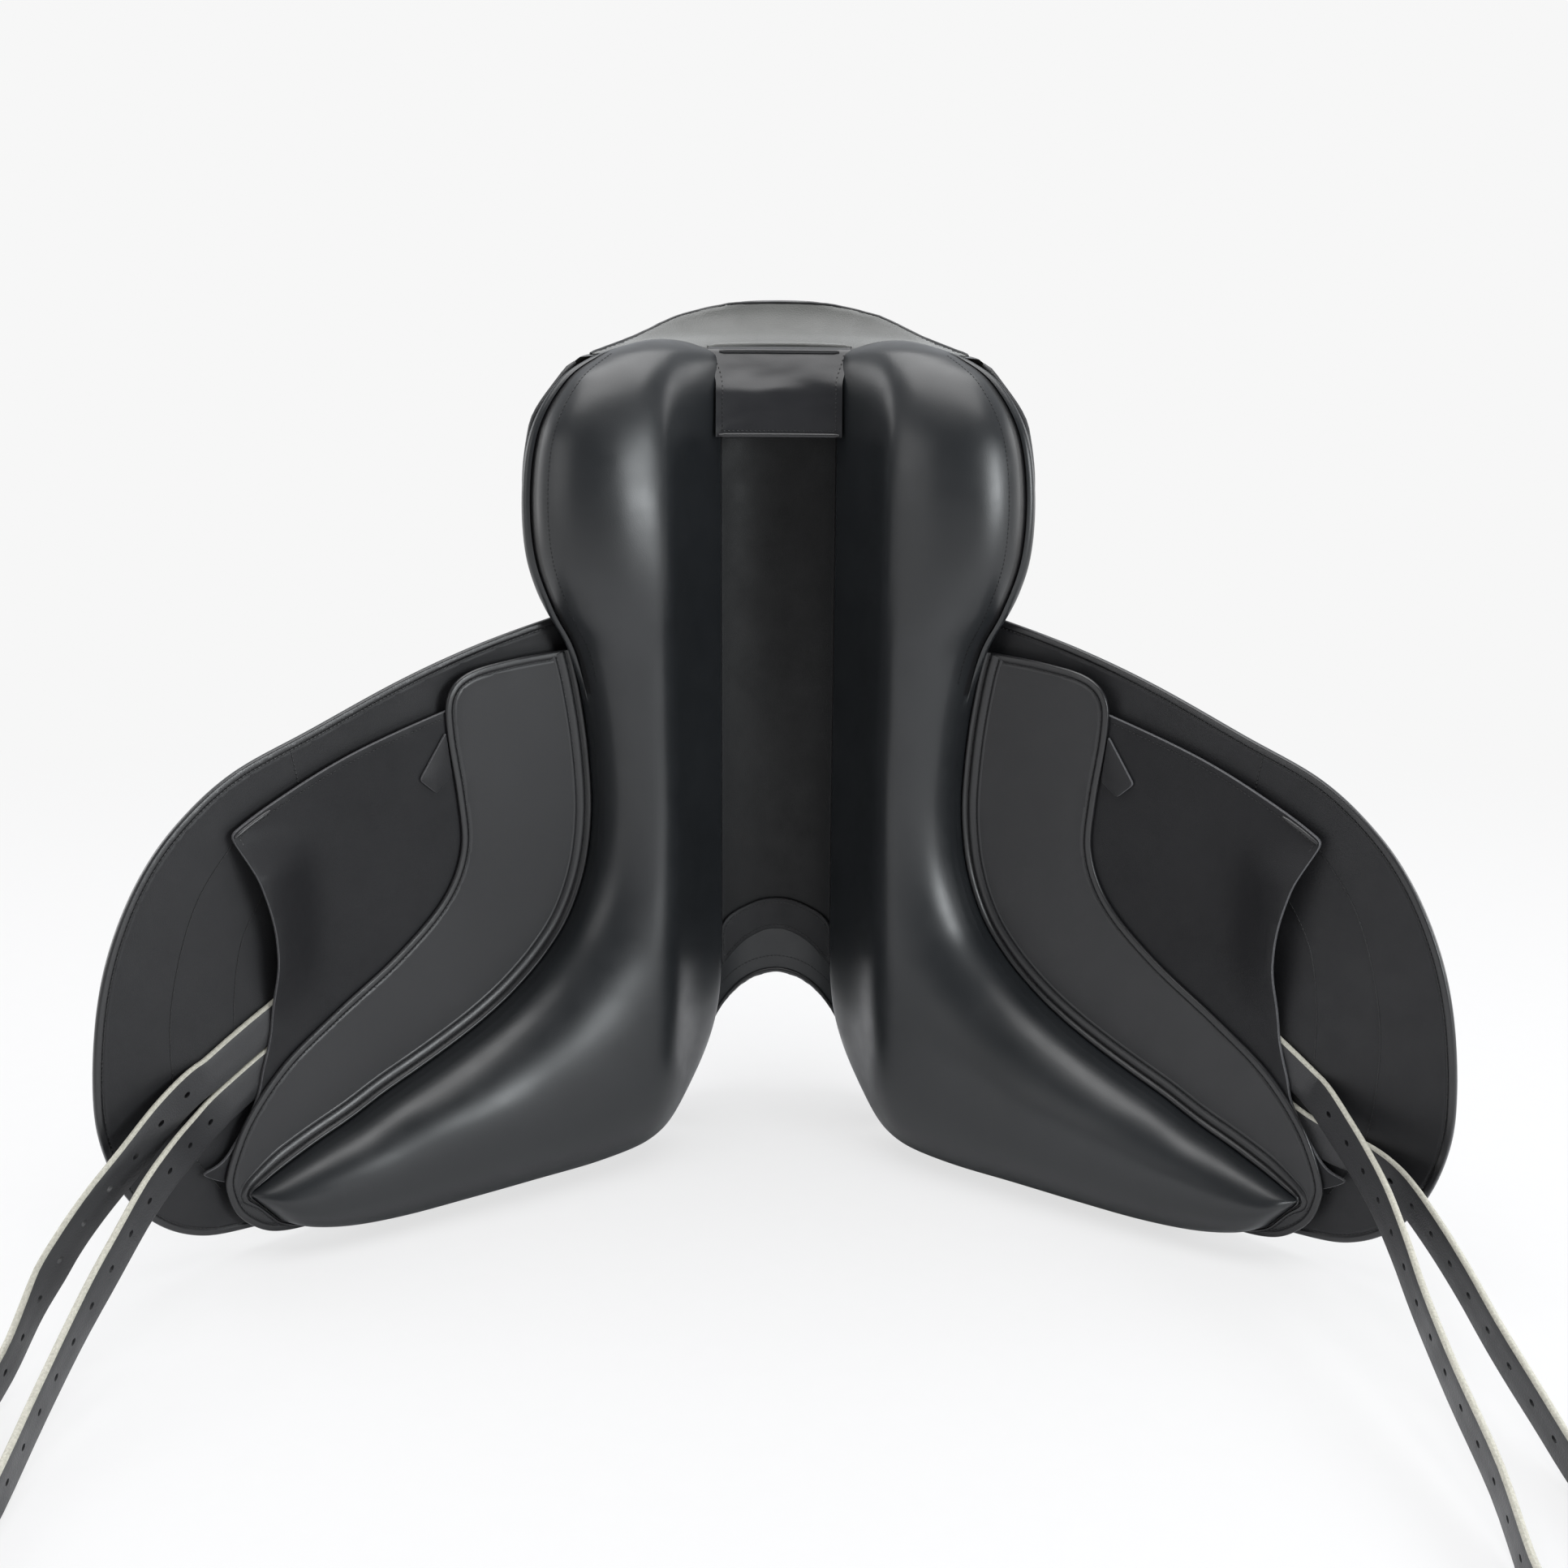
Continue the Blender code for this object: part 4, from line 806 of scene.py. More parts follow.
def panel_front(side, rib, u, share, sink=0.0):
    """A point on the panel's horse side and its foot; sink is how far in it lies."""
    x_in, z_in, x_out, z_out, swell = rib
    s = mix(s_of_x(x_in), s_of_x(x_out), share)
    z = mix(z_in, z_out, share) + TOP_ROUND * (1.0 - (2.0 * share - 1.0) ** 2) * ease(2.0, 0.0, u)
    last = len(PANEL_RIBS) - 1
    end = min(min(u, last - u) / PANEL_CAP, 1.0)
    cap = sqrt(max(1.0 - (1.0 - end) ** 2, 0.0))
    base = place(side, s, panel_back(FRONT_STEP, s, z), z)
    lean = SLOPE * ease(-0.075, 0.030, s) + FLAP_BEND * max(s, 0.0)
    low = ease(*WING_RIBS, u)
    inner_half = share < 0.5
    crown = max(1.0 - abs(2.0 * share - 1.0) ** CROWN_BENDS[0 if inner_half else 1], 0.0)
    crown **= mix(*CROWN_POWERS, low) if inner_half else CROWN_POWERS[1]
    edge = mix(mix(*INNER_EDGES, low), OUTER_EDGE, ease(0.0, 1.0, share))
    height = swell * (edge + (1.0 - edge) * crown) * mix(CAP_LEAST, 1.0, cap)
    more, s_most, z_most, spread = STUFFING[side]
    lump = more * exp(-((s - s_most) ** 2 + (z - z_most) ** 2) / (2.0 * spread ** 2))
    fast, high = LUMPS
    stuffing = noise.noise(Vector((side * 3.0 + s * fast, z * fast, 0.0))) * high
    out = Vector((-side * sin(lean), -cos(lean), 0.0))
    point = base + out * (height + (stuffing + lump) * crown * cap - sink)
    point.z = max(point.z, 0.0)
    return point, place(side, s, panel_back(FOOT_STEP, s, z), max(z, 0.0))


def panel_shares():
    """Places across the panel, closer at its rims, and how deep each lies in a seam."""
    steps = [(0.5 - 0.5 * cos(pi * k / PANEL_COLUMNS), 0.0) for k in range(PANEL_COLUMNS)]
    return [row for row in steps if row[0] < RIM_ROWS[0][0] - 0.005] + list(RIM_ROWS)


def panel(side):
    """A stuffed panel whose gusset swells out past its seam."""
    name = side_name(side)
    ribs = curve_through(PANEL_RIBS, RIB_STEPS)
    rows = panel_shares()
    rings, seam_points = [], []
    for i, rib in enumerate(ribs):
        u = i / RIB_STEPS
        deep = gusset_depth(u)
        front = [panel_front(side, rib, u, share, down * deep * SEAM_DEPTH)[0]
                 for share, down in rows]
        walls = []
        for share in (0.0, 1.0):
            top, base = panel_front(side, rib, u, share)
            inner = panel_front(side, rib, u, abs(share - 0.03))[1]
            outwards = (base - inner).normalized() * (GUSSET_BULGE * deep * share)
            wall = [base.lerp(top, part)
                    + outwards * sin(pi * part ** WALL_SWELL[0]) ** WALL_SWELL[1]
                    for part in WALL_ROWS]
            for point in wall:
                point.z = max(point.z, 0.0)
            walls.append(wall)
        rings.append(walls[0] + front + walls[1][::-1])
        if GUSSET_ENDS[0] < u < GUSSET_ENDS[1] - 0.6:
            seam_points.append(tuple(panel_front(side, rib, u, SEAM_AT)[0]))
    verts, faces = loft(rings)
    numbers = [0] * len(faces)
    rim = len(WALL_ROWS) + len(rows) - 1
    # Faces in the gusset seam's groove take the thread's dark colour: painted shade of the groove
    for i in range(len(rings) - 1):
        if gusset_depth(i / RIB_STEPS) > 0.3:
            seam = i * len(rings[0]) + rim
            numbers[seam - 1] = numbers[seam] = 1
    shape = Shape(PANEL_LEATHER, THREAD, BOUND_EDGE)
    shape.add(verts, faces, numbers)
    surface = BVHTree.FromPolygons(shape.verts, shape.faces)
    ways = [surface.find_nearest(Vector(p)) for p in spaced(seam_points, STITCH_PITCH)]
    add_stitches(shape, [w[0] for w in ways], [outward(w[1]) for w in ways], 1)
    thing = shape.build("stuffed_panel_" + name, sharp=62.0)
    finish_piece(thing, "saddle", "panel_leather", "panel_" + name)


def outward(normal):
    """The normal turned towards the horse's side."""
    return normal if normal.dot(Vector((0.0, -1.0, 0.1))) > 0.0 else -normal


# The welt's section: distance from the panel, and height over the sweat flap's face. Its cord
# lies along the panel, then come a row of stitches, a raised band and a second row.
WELT_SECTION = table("2 -6, 3 10, 10 20, 20 24, 30 20, 37 10, 43 2, 48 -1, 53 2, 60 12, 69 16, "
                     "84 13, 104 9, 112 2, 117 -1, 122 1, 130 4, 142 2, 150 -3")
WELT_SEAMS = ((6, 7), (13, 14))  # columns of that section that lie in shadow under a row
WELT_ROWS = (0.0048, 0.0117)   # from the panel to the two rows of stitches
WELT_SUNK = 0.0006             # how deep the welt's underside lies in the sweat flap
WELT_FROM = 7.0                # rib where the sweat flap's top meets the panel
WELT_STOP = 0.0130             # height at which it ends, under the toe
WELT_TOE = (0.0600, 0.0330)    # heights between which its rows draw together
WELT_DRAWN = 0.72              # and by how much
WELT_LEAST = 0.0008            # its least height over the floor


def welt_line(off):
    """(s, z) along a panel's outer edge and round its toe, moved outwards by off."""
    ribs = curve_through(PANEL_RIBS, RIB_STEPS)
    edge = [(s_of_x(rib[2]), rib[3]) for rib in ribs[int(WELT_FROM * RIB_STEPS):]]
    edge += [(s_of_x(rib[0]), rib[1]) for rib in ribs[::-1] if rib[0] > 0.2 and rib[1] > WELT_STOP]
    line = smoothed(spaced(edge, 0.0022), 4)
    ahead = np.gradient(line, axis=0)
    ahead /= np.linalg.norm(ahead, axis=1)[:, None]
    narrow = 1.0 - WELT_DRAWN * np.array([ease(*WELT_TOE, z) for _, z in line])
    moved = line + np.stack([-ahead[:, 1], ahead[:, 0]], axis=1) * off * narrow[:, None]
    return [(s, max(z, WELT_LEAST)) for s, z in moved]


def sweat_flap(side):
    """The sweat flap with its bound edge and the double-stitched welt along the panel."""
    name = side_name(side)
    point = on_side(side)
    outline = leather_outline(SWEAT_TOP, SWEAT_FRONT)
    shape = Shape(SWEAT_LEATHER, BOUND_EDGE, FLAP_EDGE, THREAD)
    add_bound_sheet(shape, outline, SWEAT_LOW, SWEAT_THICK, point, (-1,))
    rings = []
    for stop in zip(*(welt_line(off) for off, _ in WELT_SECTION)):
        ring = [point(s, SWEAT_LOW - high, z) for (s, z), (_, high) in zip(stop, WELT_SECTION)]
        ring += [point(s, SWEAT_LOW + WELT_SUNK, z)
                 for s, z in (stop[-1], stop[len(ring) // 2], stop[0])]
        rings.append(ring)
    verts, faces = loft(rings)
    kinds = [3 if any(c in pair for pair in WELT_SEAMS) else int(c < 6 or 8 <= c < 12)
             for c in range(len(rings[0]))]
    shape.add(verts, faces, kinds * (len(rings) - 1) + [0, 0])
    for off in WELT_ROWS:
        stitch_on_sheet(shape, welt_line(off), SWEAT_LOW, point, 3, lift=0.0)
    finish_piece(shape.build("sweat_leather_" + name), "saddle", "flap_leather",
                 "sweat_flap_" + name)


def keeper_tab(side):
    name = side_name(side)
    shape = Shape(FLAP_LEATHER, FLAP_LEATHER, FLAP_EDGE)
    add_sheet(shape, rounded_outline(TAB_OUTLINE, step=0.0015, passes=2),
              GUARD_LOW - GAP - TAB_THICK, TAB_THICK, on_side(side),
              round_profile(TAB_THICK, 0.0007), cell=0.02, rim=0.0004, numbers=(0, 0, 2))
    finish_piece(shape.build("tab_leather_" + name), "keeper_tab_" + name, "flap_leather",
                 "keeper_tab_" + name)


def skirt(side):
    name = side_name(side)
    shape = Shape(SEAT_LEATHER, BOUND_EDGE, FLAP_EDGE, THREAD)
    add_bound_sheet(shape, leather_outline(SKIRT_OUTER), SKIRT_LOW,
                    SKIRT_THICK, on_side(side), (1,), numbers=(0, 0, 0))
    finish_piece(shape.build("skirt_leather_" + name), "skirt_" + name, "seat_leather",
                 "skirt_" + name)


# Girth straps: middle lines of the sewn-in part (s and height) and of the free part (world)
STRAP_ROOTS = {
    (-1, "rear"): table("345 2145, 1500 1960, 2350 1775, 2850 1555, 3280 1320"),
    (-1, "front"): table("345 1865, 1500 1680, 2350 1500, 2800 1300, 3160 1105"),
    (1, "rear"): table("345 2142, 1500 1900, 2350 1635, 2750 1420, 3085 1215"),
    (1, "front"): table("345 1862, 1500 1620, 2350 1330, 2620 1165, 2950 955, 3300 855"),
}
STRAP_RUNS = {
    (-1, "rear"): table("-3702 -125 1280, -3824 -345 1175, -3975 -578 992, -4135 -820 805, "
                        "-4260 -1040 620, -4370 -1240 400, -4420 -1620 200, -4450 -2200 120, "
                        "-4455 -2700 120, -4460 -3200 120"),
    (-1, "front"): table("-3602 -30 1052, -3664 -190 995, -3726 -460 948, -3815 -760 833, "
                         "-3895 -1120 668, -4000 -1520 440, -4050 -2070 250, -4050 -2710 120, "
                         "-4030 -3150 120, -4000 -3560 120"),
    (1, "rear"): table("3526 0 1170, 3588 -190 1078, 3645 -450 985, 3690 -780 880, "
                       "3715 -1120 745, 3735 -1500 575, 3760 -2050 400, 3790 -2670 240, "
                       "3750 -3270 120, 3740 -3567 120"),
    (1, "front"): table("3780 -175 850, 3920 -420 790, 4010 -800 690, 4080 -1200 570, "
                        "4150 -1590 420, 4250 -2010 250, 4330 -2500 120, 4400 -3000 120, "
                        "4460 -3540 120"),
}
STRAP_POINT = 0.0160           # length of the pointed end
STRAP_TIP = 0.30               # share of the width that is left at its tip
HOLE_STEP = 0.0250
HOLE_FIRST = 0.020             # from the hinge to the first hole
FLOOR_CLEAR = 0.0002           # least height of the leather that lies on the floor
HOLE_HALF = (0.0027, 0.0015)   # half the length and width of an oval hole
STRAP_ROW = 0.0050             # distance between rows of the strap's grid
# Grid points round a hole: rows from its first, and columns from the middle one
HOLE_BORDER = ((0, -1), (0, 0), (0, 1), (1, 1), (2, 1), (2, 0), (2, -1), (1, -1))


def strap_frames(side, where):
    """Places, middle, width and rider's-side directions along a strap, and where it hinges."""
    root = STRAP_ROOTS[side, where]
    middle_t = BILLET_LOW + BILLET_THICK / 2
    line = curve_through(root, 4)
    frames = []
    for (s, z), ahead in zip(line, headings(line)):
        middle = place(side, s, middle_t, z)
        above = place(side, s - ahead.y * 0.004, middle_t, z + ahead.x * 0.004)
        frames.append((middle, (above - middle).normalized(),
                       sheet_normal(on_side(side), s, middle_t, z)))
    middle, wide, out = frames[-1]
    path = [Vector(p) for p in curve_through([tuple(middle)] + STRAP_RUNS[side, where], 4)]
    ways = headings(path)
    for i in range(1, len(path)):
        ahead = ways[i]
        up = wide.lerp(Vector((0.0, 0.0, 1.0)), ease(0.0, 0.75, i / (len(path) - 1)))
        up = (up - ahead * up.dot(ahead)).normalized()
        face = ahead.cross(up)
        out = face if face.dot(out) > 0.0 else -face
        frames.append((path[i], up, out))
    rows = np.array([[*m, *u, *o] for m, u, o in frames])
    along = lengths(rows[:, :3])
    at = np.linspace(0.0, along[-1], int(round(along[-1] / STRAP_ROW)) + 1)
    even = np.stack([np.interp(at, along, rows[:, k]) for k in range(9)], axis=1)
    return (at, [[Vector(row[k:k + 3]) for k in (0, 3, 6)] for row in even],
            along[(len(root) - 1) * 4])


STRAP_COLUMNS = (-1.0, -0.975, -0.90, -0.30, 0.0, 0.30, 0.84, 0.955, 1.0)
STRAP_ROUND = (0.30, 0.75, 1.0, 1.0, 1.0, 1.0, 1.0, 0.75, 0.30)


def two_layers(shape, verts, faces, numbers, edges, edge_number):
    """Adds a grid twice, the low layer's verts first, and closes it along its open edges."""
    count = len(verts) // 2
    faces = faces + [tuple(i + count for i in face[::-1]) for face in faces]
    faces += [(a, b, b + count, a + count) for a, b in edges]
    shape.add(verts, faces, numbers * 2 + [edge_number] * len(edges))


def girth_strap(side, where):
    """One strap from the web to its pointed end, with a row of oval holes."""
    name = where + "_" + side_name(side)
    at, rows, hinge = strap_frames(side, where)
    columns, core = len(STRAP_COLUMNS), len(STRAP_COLUMNS) // 2
    verts = []
    for face in (-1, 1):
        for distance, (middle, up, out) in zip(at, rows):
            up = up.normalized()
            out = (out - up * out.dot(up)).normalized()
            left = min(max((at[-1] - distance) / STRAP_POINT, 0.0), 1.0)
            half = BILLET_WIDE / 2 * mix(STRAP_TIP, 1.0, left ** 0.6)
            for column, share in zip(STRAP_COLUMNS, STRAP_ROUND):
                point = middle + up * (half * column) + out * (face * share * BILLET_THICK / 2)
                point.z = max(point.z, FLOOR_CLEAR)
                verts.append(point)
    count, last = len(verts) // 2, len(at) - 1
    holes = range(int((hinge + HOLE_FIRST) / STRAP_ROW), last - 7,
                  int(round(HOLE_STEP / STRAP_ROW)))
    taken = {k + j for k in holes for j in (0, 1)}
    quads, numbers = [], []
    for i, quad in enumerate(grid_faces(last + 1, columns)):
        r, c = divmod(i, columns - 1)
        if r not in taken or c not in (core - 1, core):
            quads.append(quad)
            numbers.append(1 if c in (0, columns - 3, columns - 2) else 0)
    edges = [(r * columns + c, (r + 1) * columns + c) for r in range(last)
             for c in (0, columns - 1)]
    edges += [(r * columns + c, r * columns + c + 1) for r in (0, last)
              for c in range(columns - 1)]
    shape = Shape(BILLET_LEATHER, BILLET_EDGE)
    two_layers(shape, verts, quads, numbers, edges, 1)
    for k in holes:
        middle, up = rows[k + 1][0], rows[k + 1][1].normalized()
        ahead = (rows[k + 2][0] - rows[k][0]).normalized()
        rims = []
        for layer in (0, count):
            border = [(k + r) * columns + core + c + layer for r, c in HOLE_BORDER]
            rims.append(range(len(shape.verts), len(shape.verts) + 8))
            rim = []
            for i in border:
                flat = verts[i] - middle
                along, wide = flat.dot(ahead), flat.dot(up)
                size = sqrt((along / HOLE_HALF[0]) ** 2 + (wide / HOLE_HALF[1]) ** 2)
                depth = flat - ahead * along - up * wide
                rim.append(middle + ahead * along / size + up * wide / size + depth * 0.96)
            shape.add(rim, [])
            shape.add([], [(border[i - 1], border[i], rims[-1][i], rims[-1][i - 1])
                           for i in range(8)], base=0)
        shape.add([], [(rims[0][i - 1], rims[0][i], rims[1][i], rims[1][i - 1])
                       for i in range(8)], base=0)
    thing = shape.build("girth_strap_" + name, sharp=55.0)
    spot = int(hinge / STRAP_ROW)
    bend = ("saddle", "billet_" + name, rows[spot - 1][0], rows[spot + 3][0])
    finish_piece(thing, bend, "billet_leather", "billet_root_" + name, "billet_" + name)


def web_sheet(name, corners, low, point, *nodes):
    shape = Shape(WEBBING)
    add_sheet(shape, rounded_outline(table(corners), step=0.003, passes=0), low, WEB_THICK, point,
              round_profile(WEB_THICK, 0.0006), cell=0.012)
    finish_piece(shape.build(name), "saddle", "web", *nodes)


def webs():
    for side, corners in ((-1, "-340 1620, -100 1620, -100 5480, -340 5480"),
                          (1, "100 1620, 340 1620, 340 5480, 100 5480")):
        name = side_name(side)
        web_sheet("girth_webbing_" + name, "-440 2320, 296 2290, 296 1740, -440 1760",
                  FLAP_LOW - GAP - WEB_THICK, on_side(side), "girth_web_" + name)
        web_sheet("seat_webbing_" + name, corners, WEB_LOW, across, "seat_web_" + name)
    web_sheet("seat_webbing_cross", "-660 3000, 660 3000, 660 3500, -660 3500",
              CROSS_WEB_LOW, across, "seat_web_cross")


CHANNEL_HALF = table("470 1512, 480 4100, 500 5260, 500 5700")
HEAD_LINING_TOP = table("-465 1190, -465 1520, -220 1660, 0 1700, 220 1660, 465 1520, 465 1190")
HEAD_LINING_ARCH = table("465 1190, 260 1370, 0 1460, -260 1370, -465 1190")


def linings():
    """The gullet's lining and the lining under the head."""
    outline = rounded_outline([(-s, z) for s, z in CHANNEL_HALF[::-1]] + CHANNEL_HALF)
    shape = Shape(LINING_AND_SHADE_LEATHER, THREAD)
    add_sheet(shape, outline, LINING_LOW, LINING_THICK, across,
              round_profile(LINING_THICK, 0.0009), cell=0.0060)
    finish_piece(shape.build("channel_leather"), "saddle", "lining_leather", "gullet_lining")

    low = HEAD_UNDER - GAP - LINING_THICK
    outline = leather_outline(HEAD_LINING_TOP, HEAD_LINING_ARCH, steps=8)
    shape = Shape(FLAP_LEATHER, THREAD)
    add_sheet(shape, outline, low, LINING_THICK, across, round_profile(LINING_THICK, 0.0009),
              cell=0.0060)
    stitch_on_sheet(shape, inset(outline, 0.0030), low, across, 1, closed=True)
    finish_piece(shape.build("head_lining"), "saddle", "lining_leather", "pommel_lining")


BRIDGE_LOW = 0.5205
BRIDGE_HIGH = 0.5785
BRIDGE_DEPTH = 0.0560
BRIDGE_HALF = PANEL_INNER + 0.0010
BRIDGE_BEND = 0.0320           # height over its lower edge at which it starts to lean back
BRIDGE_STEEP = 0.17            # lean below that height
BRIDGE_LEAN = 0.50             # and how much more above it
BRIDGE_SEAMS = (0.0045, 0.0042)           # from its sides and its lower edge to the stitches
BRIDGE_CORD = 0.0016
BRIDGE_CORD_IN = 0.0012
BRIDGE_WIDER = 0.0060          # how much wider each half is at its top
BRIDGE_WIDENS = 0.5550         # height from which it widens
BRIDGE_WAVE = (0.0025, 60.0)   # how far and how fast that bend goes up and down across it
BRIDGE_SOFT = 0.0035           # how softly it bends
BRIDGE_BOW = 0.0030            # how far its middle stands back
BRIDGE_HELD = 0.0080           # from its sides and lower edge, where it is held flat
# Creases: how fast they change across and up, which noise they take, and how deep they are
BRIDGE_CREASES = ((20.0, 60.0, 3.0, 0.0011), (60.0, 170.0, 7.0, 0.00025))
FOLD_RISE = 0.0012             # how high its fold to the cantle rises
FOLD_THICK = 0.0015            # how far the fold's underside lies behind it at its start
FOLD_DROP = 0.0024             # and under it


def bridge_half(z):
    """Half the bridge's width: it widens to the top, where the panels round off."""
    return BRIDGE_HALF + BRIDGE_WIDER * ease(BRIDGE_WIDENS, BRIDGE_HIGH, z)


def bridge_y(x, z):
    """Where the bridge's face lies: steep at the bottom, then leaning back, with creases."""
    crown = arc_point(MIDDLE, 0.0)[1] + ROOT_BEHIND - BRIDGE_DEPTH
    high = z - BRIDGE_LOW
    over = high - BRIDGE_BEND - BRIDGE_WAVE[0] * sin(x * BRIDGE_WAVE[1])
    back = BRIDGE_STEEP * high + BRIDGE_LEAN * 0.5 * (over + sqrt(over ** 2 + BRIDGE_SOFT ** 2))
    bow = BRIDGE_BOW * (1.0 - (x / BRIDGE_HALF) ** 2)
    crease = sum(noise.noise(Vector((x * across_it, z * up, which))) * deep
                 for across_it, up, which, deep in BRIDGE_CREASES)
    held = min(1.0, (bridge_half(z) - abs(x)) / BRIDGE_HELD, high / BRIDGE_HELD)
    return crown + bow + back + crease * max(held, 0.0)


def gullet_bridge():
    """The band across the rear of the gullet: glossy, creased, and sewn on three sides."""
    rows, fold, columns = 34, 9, 48
    shape = Shape(BRIDGE_LEATHER, THREAD, BOUND_EDGE)
    shares = np.linspace(-1.0, 1.0, columns)
    low, high = [], []
    for z in np.linspace(BRIDGE_LOW, BRIDGE_HIGH, rows):
        for x in shares * bridge_half(z):
            low.append(Vector((x, bridge_y(x, z), z)))
            high.append(low[-1] + Vector((0.0, 1.8 * LINING_THICK, 0.0)))
    for share in np.linspace(0.0, 1.0, fold + 1)[1:]:
        for x in shares * bridge_half(BRIDGE_HIGH):
            y = mix(bridge_y(x, BRIDGE_HIGH), y_under(CANTLE_LOW + 0.004, x) + 0.0006, share)
            low.append(Vector((x, y, BRIDGE_HIGH + FOLD_RISE * sin(pi * share) ** 0.5)))
            high.append(low[-1] + Vector((0.0, FOLD_THICK * (1.0 - share), -FOLD_DROP)))
    rows += fold
    faces = grid_faces(rows, columns)
    rim = ([(0, c) for c in range(columns)] + [(r, columns - 1) for r in range(1, rows)]
           + [(rows - 1, c) for c in range(columns - 2, -1, -1)]
           + [(r, 0) for r in range(rows - 2, 0, -1)])
    ids = [r * columns + c for r, c in rim]
    two_layers(shape, low + high, faces, [0] * len(faces), list(zip(ids, ids[1:] + ids[:1])), 0)
    paths = [[(side * (bridge_half(z) - BRIDGE_SEAMS[0]), z)
              for z in np.linspace(BRIDGE_LOW + 0.003, BRIDGE_HIGH - 0.002, 20)]
             for side in (-1, 1)]
    paths.append([(x, BRIDGE_LOW + BRIDGE_SEAMS[1]) for x in np.linspace(-BRIDGE_HALF + 0.004,
                                                               BRIDGE_HALF - 0.004, 30)])
    for path in paths:
        line = spaced(path, STITCH_PITCH)
        points = [(x, bridge_y(x, z) - 0.0001, z) for x, z in line]
        add_stitches(shape, points, [(0.0, -1.0, 0.0)] * len(points), 1)
    for z in (BRIDGE_LOW + BRIDGE_CORD_IN, BRIDGE_HIGH - BRIDGE_CORD_IN):
        bead = [(x, bridge_y(x, z) - 0.0004, z) for x in np.linspace(-BRIDGE_HALF + 0.002,
                                                                    BRIDGE_HALF - 0.002, 24)]
        shape.add(*tube(bead, BRIDGE_CORD), 2)
    finish_piece(shape.build("bridge_leather"), "saddle", "lining_leather", "gullet_bridge")


# The seat, the head and the cantle
SEAT_STATIONS = table("0 -300 100 700 0, 80 -220 60 840 0, 500 -140 100 980 0, "
                      "1000 -60 200 1080 0, 1500 0 278 1110 0, 2100 0 278 1030 0, "
                      "2700 0 278 940 10, 3300 0 278 920 30, 3620 0 278 940 50, "
                      "4050 560 90 1010 90, 4500 720 10 1140 160, 4900 800 -10 1290 220, "
                      "5300 740 -10 1460 220, 5600 520 -10 1560 140, 5750 340 -10 1580 60, "
                      "5900 -270 350 1540 0, 6030 -690 470 1420 0, 6100 -1030 500 1260 0")
SEAT_SIDES = 48
SEAT_ROUND = 2.4
HEAD_HIGH = 0.1500
CANTLE_LOW = 0.5750
CANTLE_HIGH = SEAT_STATIONS[-1][0]
ARCH_HALF = 0.0660
ARCH_HIGH = 0.1080
FOAM_SIDE = 0.0110
WELL_EDGE = -0.0480
SKIN_VOXEL = 0.0026
HEAD_SOFT, CANTLE_SOFT = 9, 3             # passes that soften their edges
HEAD_CORD, RIM_CORD, BAND_CORD, WELT_CORD = 0.0016, 0.0010, 0.0022, 0.0015
HEAD_CORD_OFF = (0.004, 0.004)            # from the arch to its cord, along x and z
HEAD_SEAM_OFF = (0.016, 0.015)            # and to the seam over it
SEAT_WELTS = (0.30, 0.42)      # where the seat's welts lie at the head's end and the cantle's
CORD_SUNK = 0.0014             # how deep the seat's edge cords lie in it


def station_slopes():
    """Slopes at the stations for a smooth line through them that never swings past one."""
    rows = np.array(SEAT_STATIONS)
    steps = np.diff(rows, axis=0) / np.diff(rows[:, 0])[:, None]
    slopes = np.vstack([steps[:1], steps[1:], steps[-1:]])
    for i in range(1, len(rows) - 1):
        a, b = steps[i - 1], steps[i]
        same = a * b > 0.0
        slopes[i] = np.where(same, 2.0 * a * b / np.where(same, a + b, 1.0), 0.0)
    return rows, slopes


STATION_ROWS, STATION_SLOPES = station_slopes()


def seat_station(z):
    i = int(np.clip(np.searchsorted(STATION_ROWS[:, 0], z) - 1, 0, len(STATION_ROWS) - 2))
    a, b = STATION_ROWS[i], STATION_ROWS[i + 1]
    wide = b[0] - a[0]
    u = min(max((z - a[0]) / wide, 0.0), 1.0)
    row = (a * (1 + 2 * u) * (1 - u) ** 2 + b * u * u * (3 - 2 * u)
           + STATION_SLOPES[i] * wide * u * (1 - u) ** 2
           - STATION_SLOPES[i + 1] * wide * u * u * (1 - u))
    return tuple(float(v) for v in row)


def seat_point(z, angle, inset_by=0.0):
    """A point of the seat's section at height z; angle is 0 at its right edge."""
    _, s_edge, t_edge, crown, dish = seat_station(z)
    edge_x, edge_y = arc_point(s_edge, t_edge)
    half, top = edge_x - inset_by, crown - inset_by
    c, sn = cos(angle), sin(angle)
    x = half * abs(c) ** (2 / SEAT_ROUND) * (1 if c > 0 else -1)
    y = edge_y + (top - edge_y) * abs(sn) ** (2 / SEAT_ROUND)
    y -= dish * (1.0 - (x / half) ** 2) ** 2
    return Vector((x, y + ROOT_BEHIND, z))


def seat_ring(z):
    return [seat_point(z, pi * k / SEAT_SIDES) for k in range(SEAT_SIDES + 1)]


def fine_ring(z, sides=80):
    """The same section with its points closer together towards both edges."""
    return [seat_point(z, pi * (0.5 - 0.5 * cos(pi * k / sides))) for k in range(sides + 1)]


ARCH_STOPS = [mix(ARCH_END, MIDDLE, share) for share in (0.2, 0.4, 0.6, 0.8, 1.0)]


def mirror_under(points, z):
    left = [Vector((-x, y + ROOT_BEHIND, z)) for x, y in points]
    right = [Vector((x, y + ROOT_BEHIND, z)) for x, y in points[:-1]]
    return left + right[::-1]


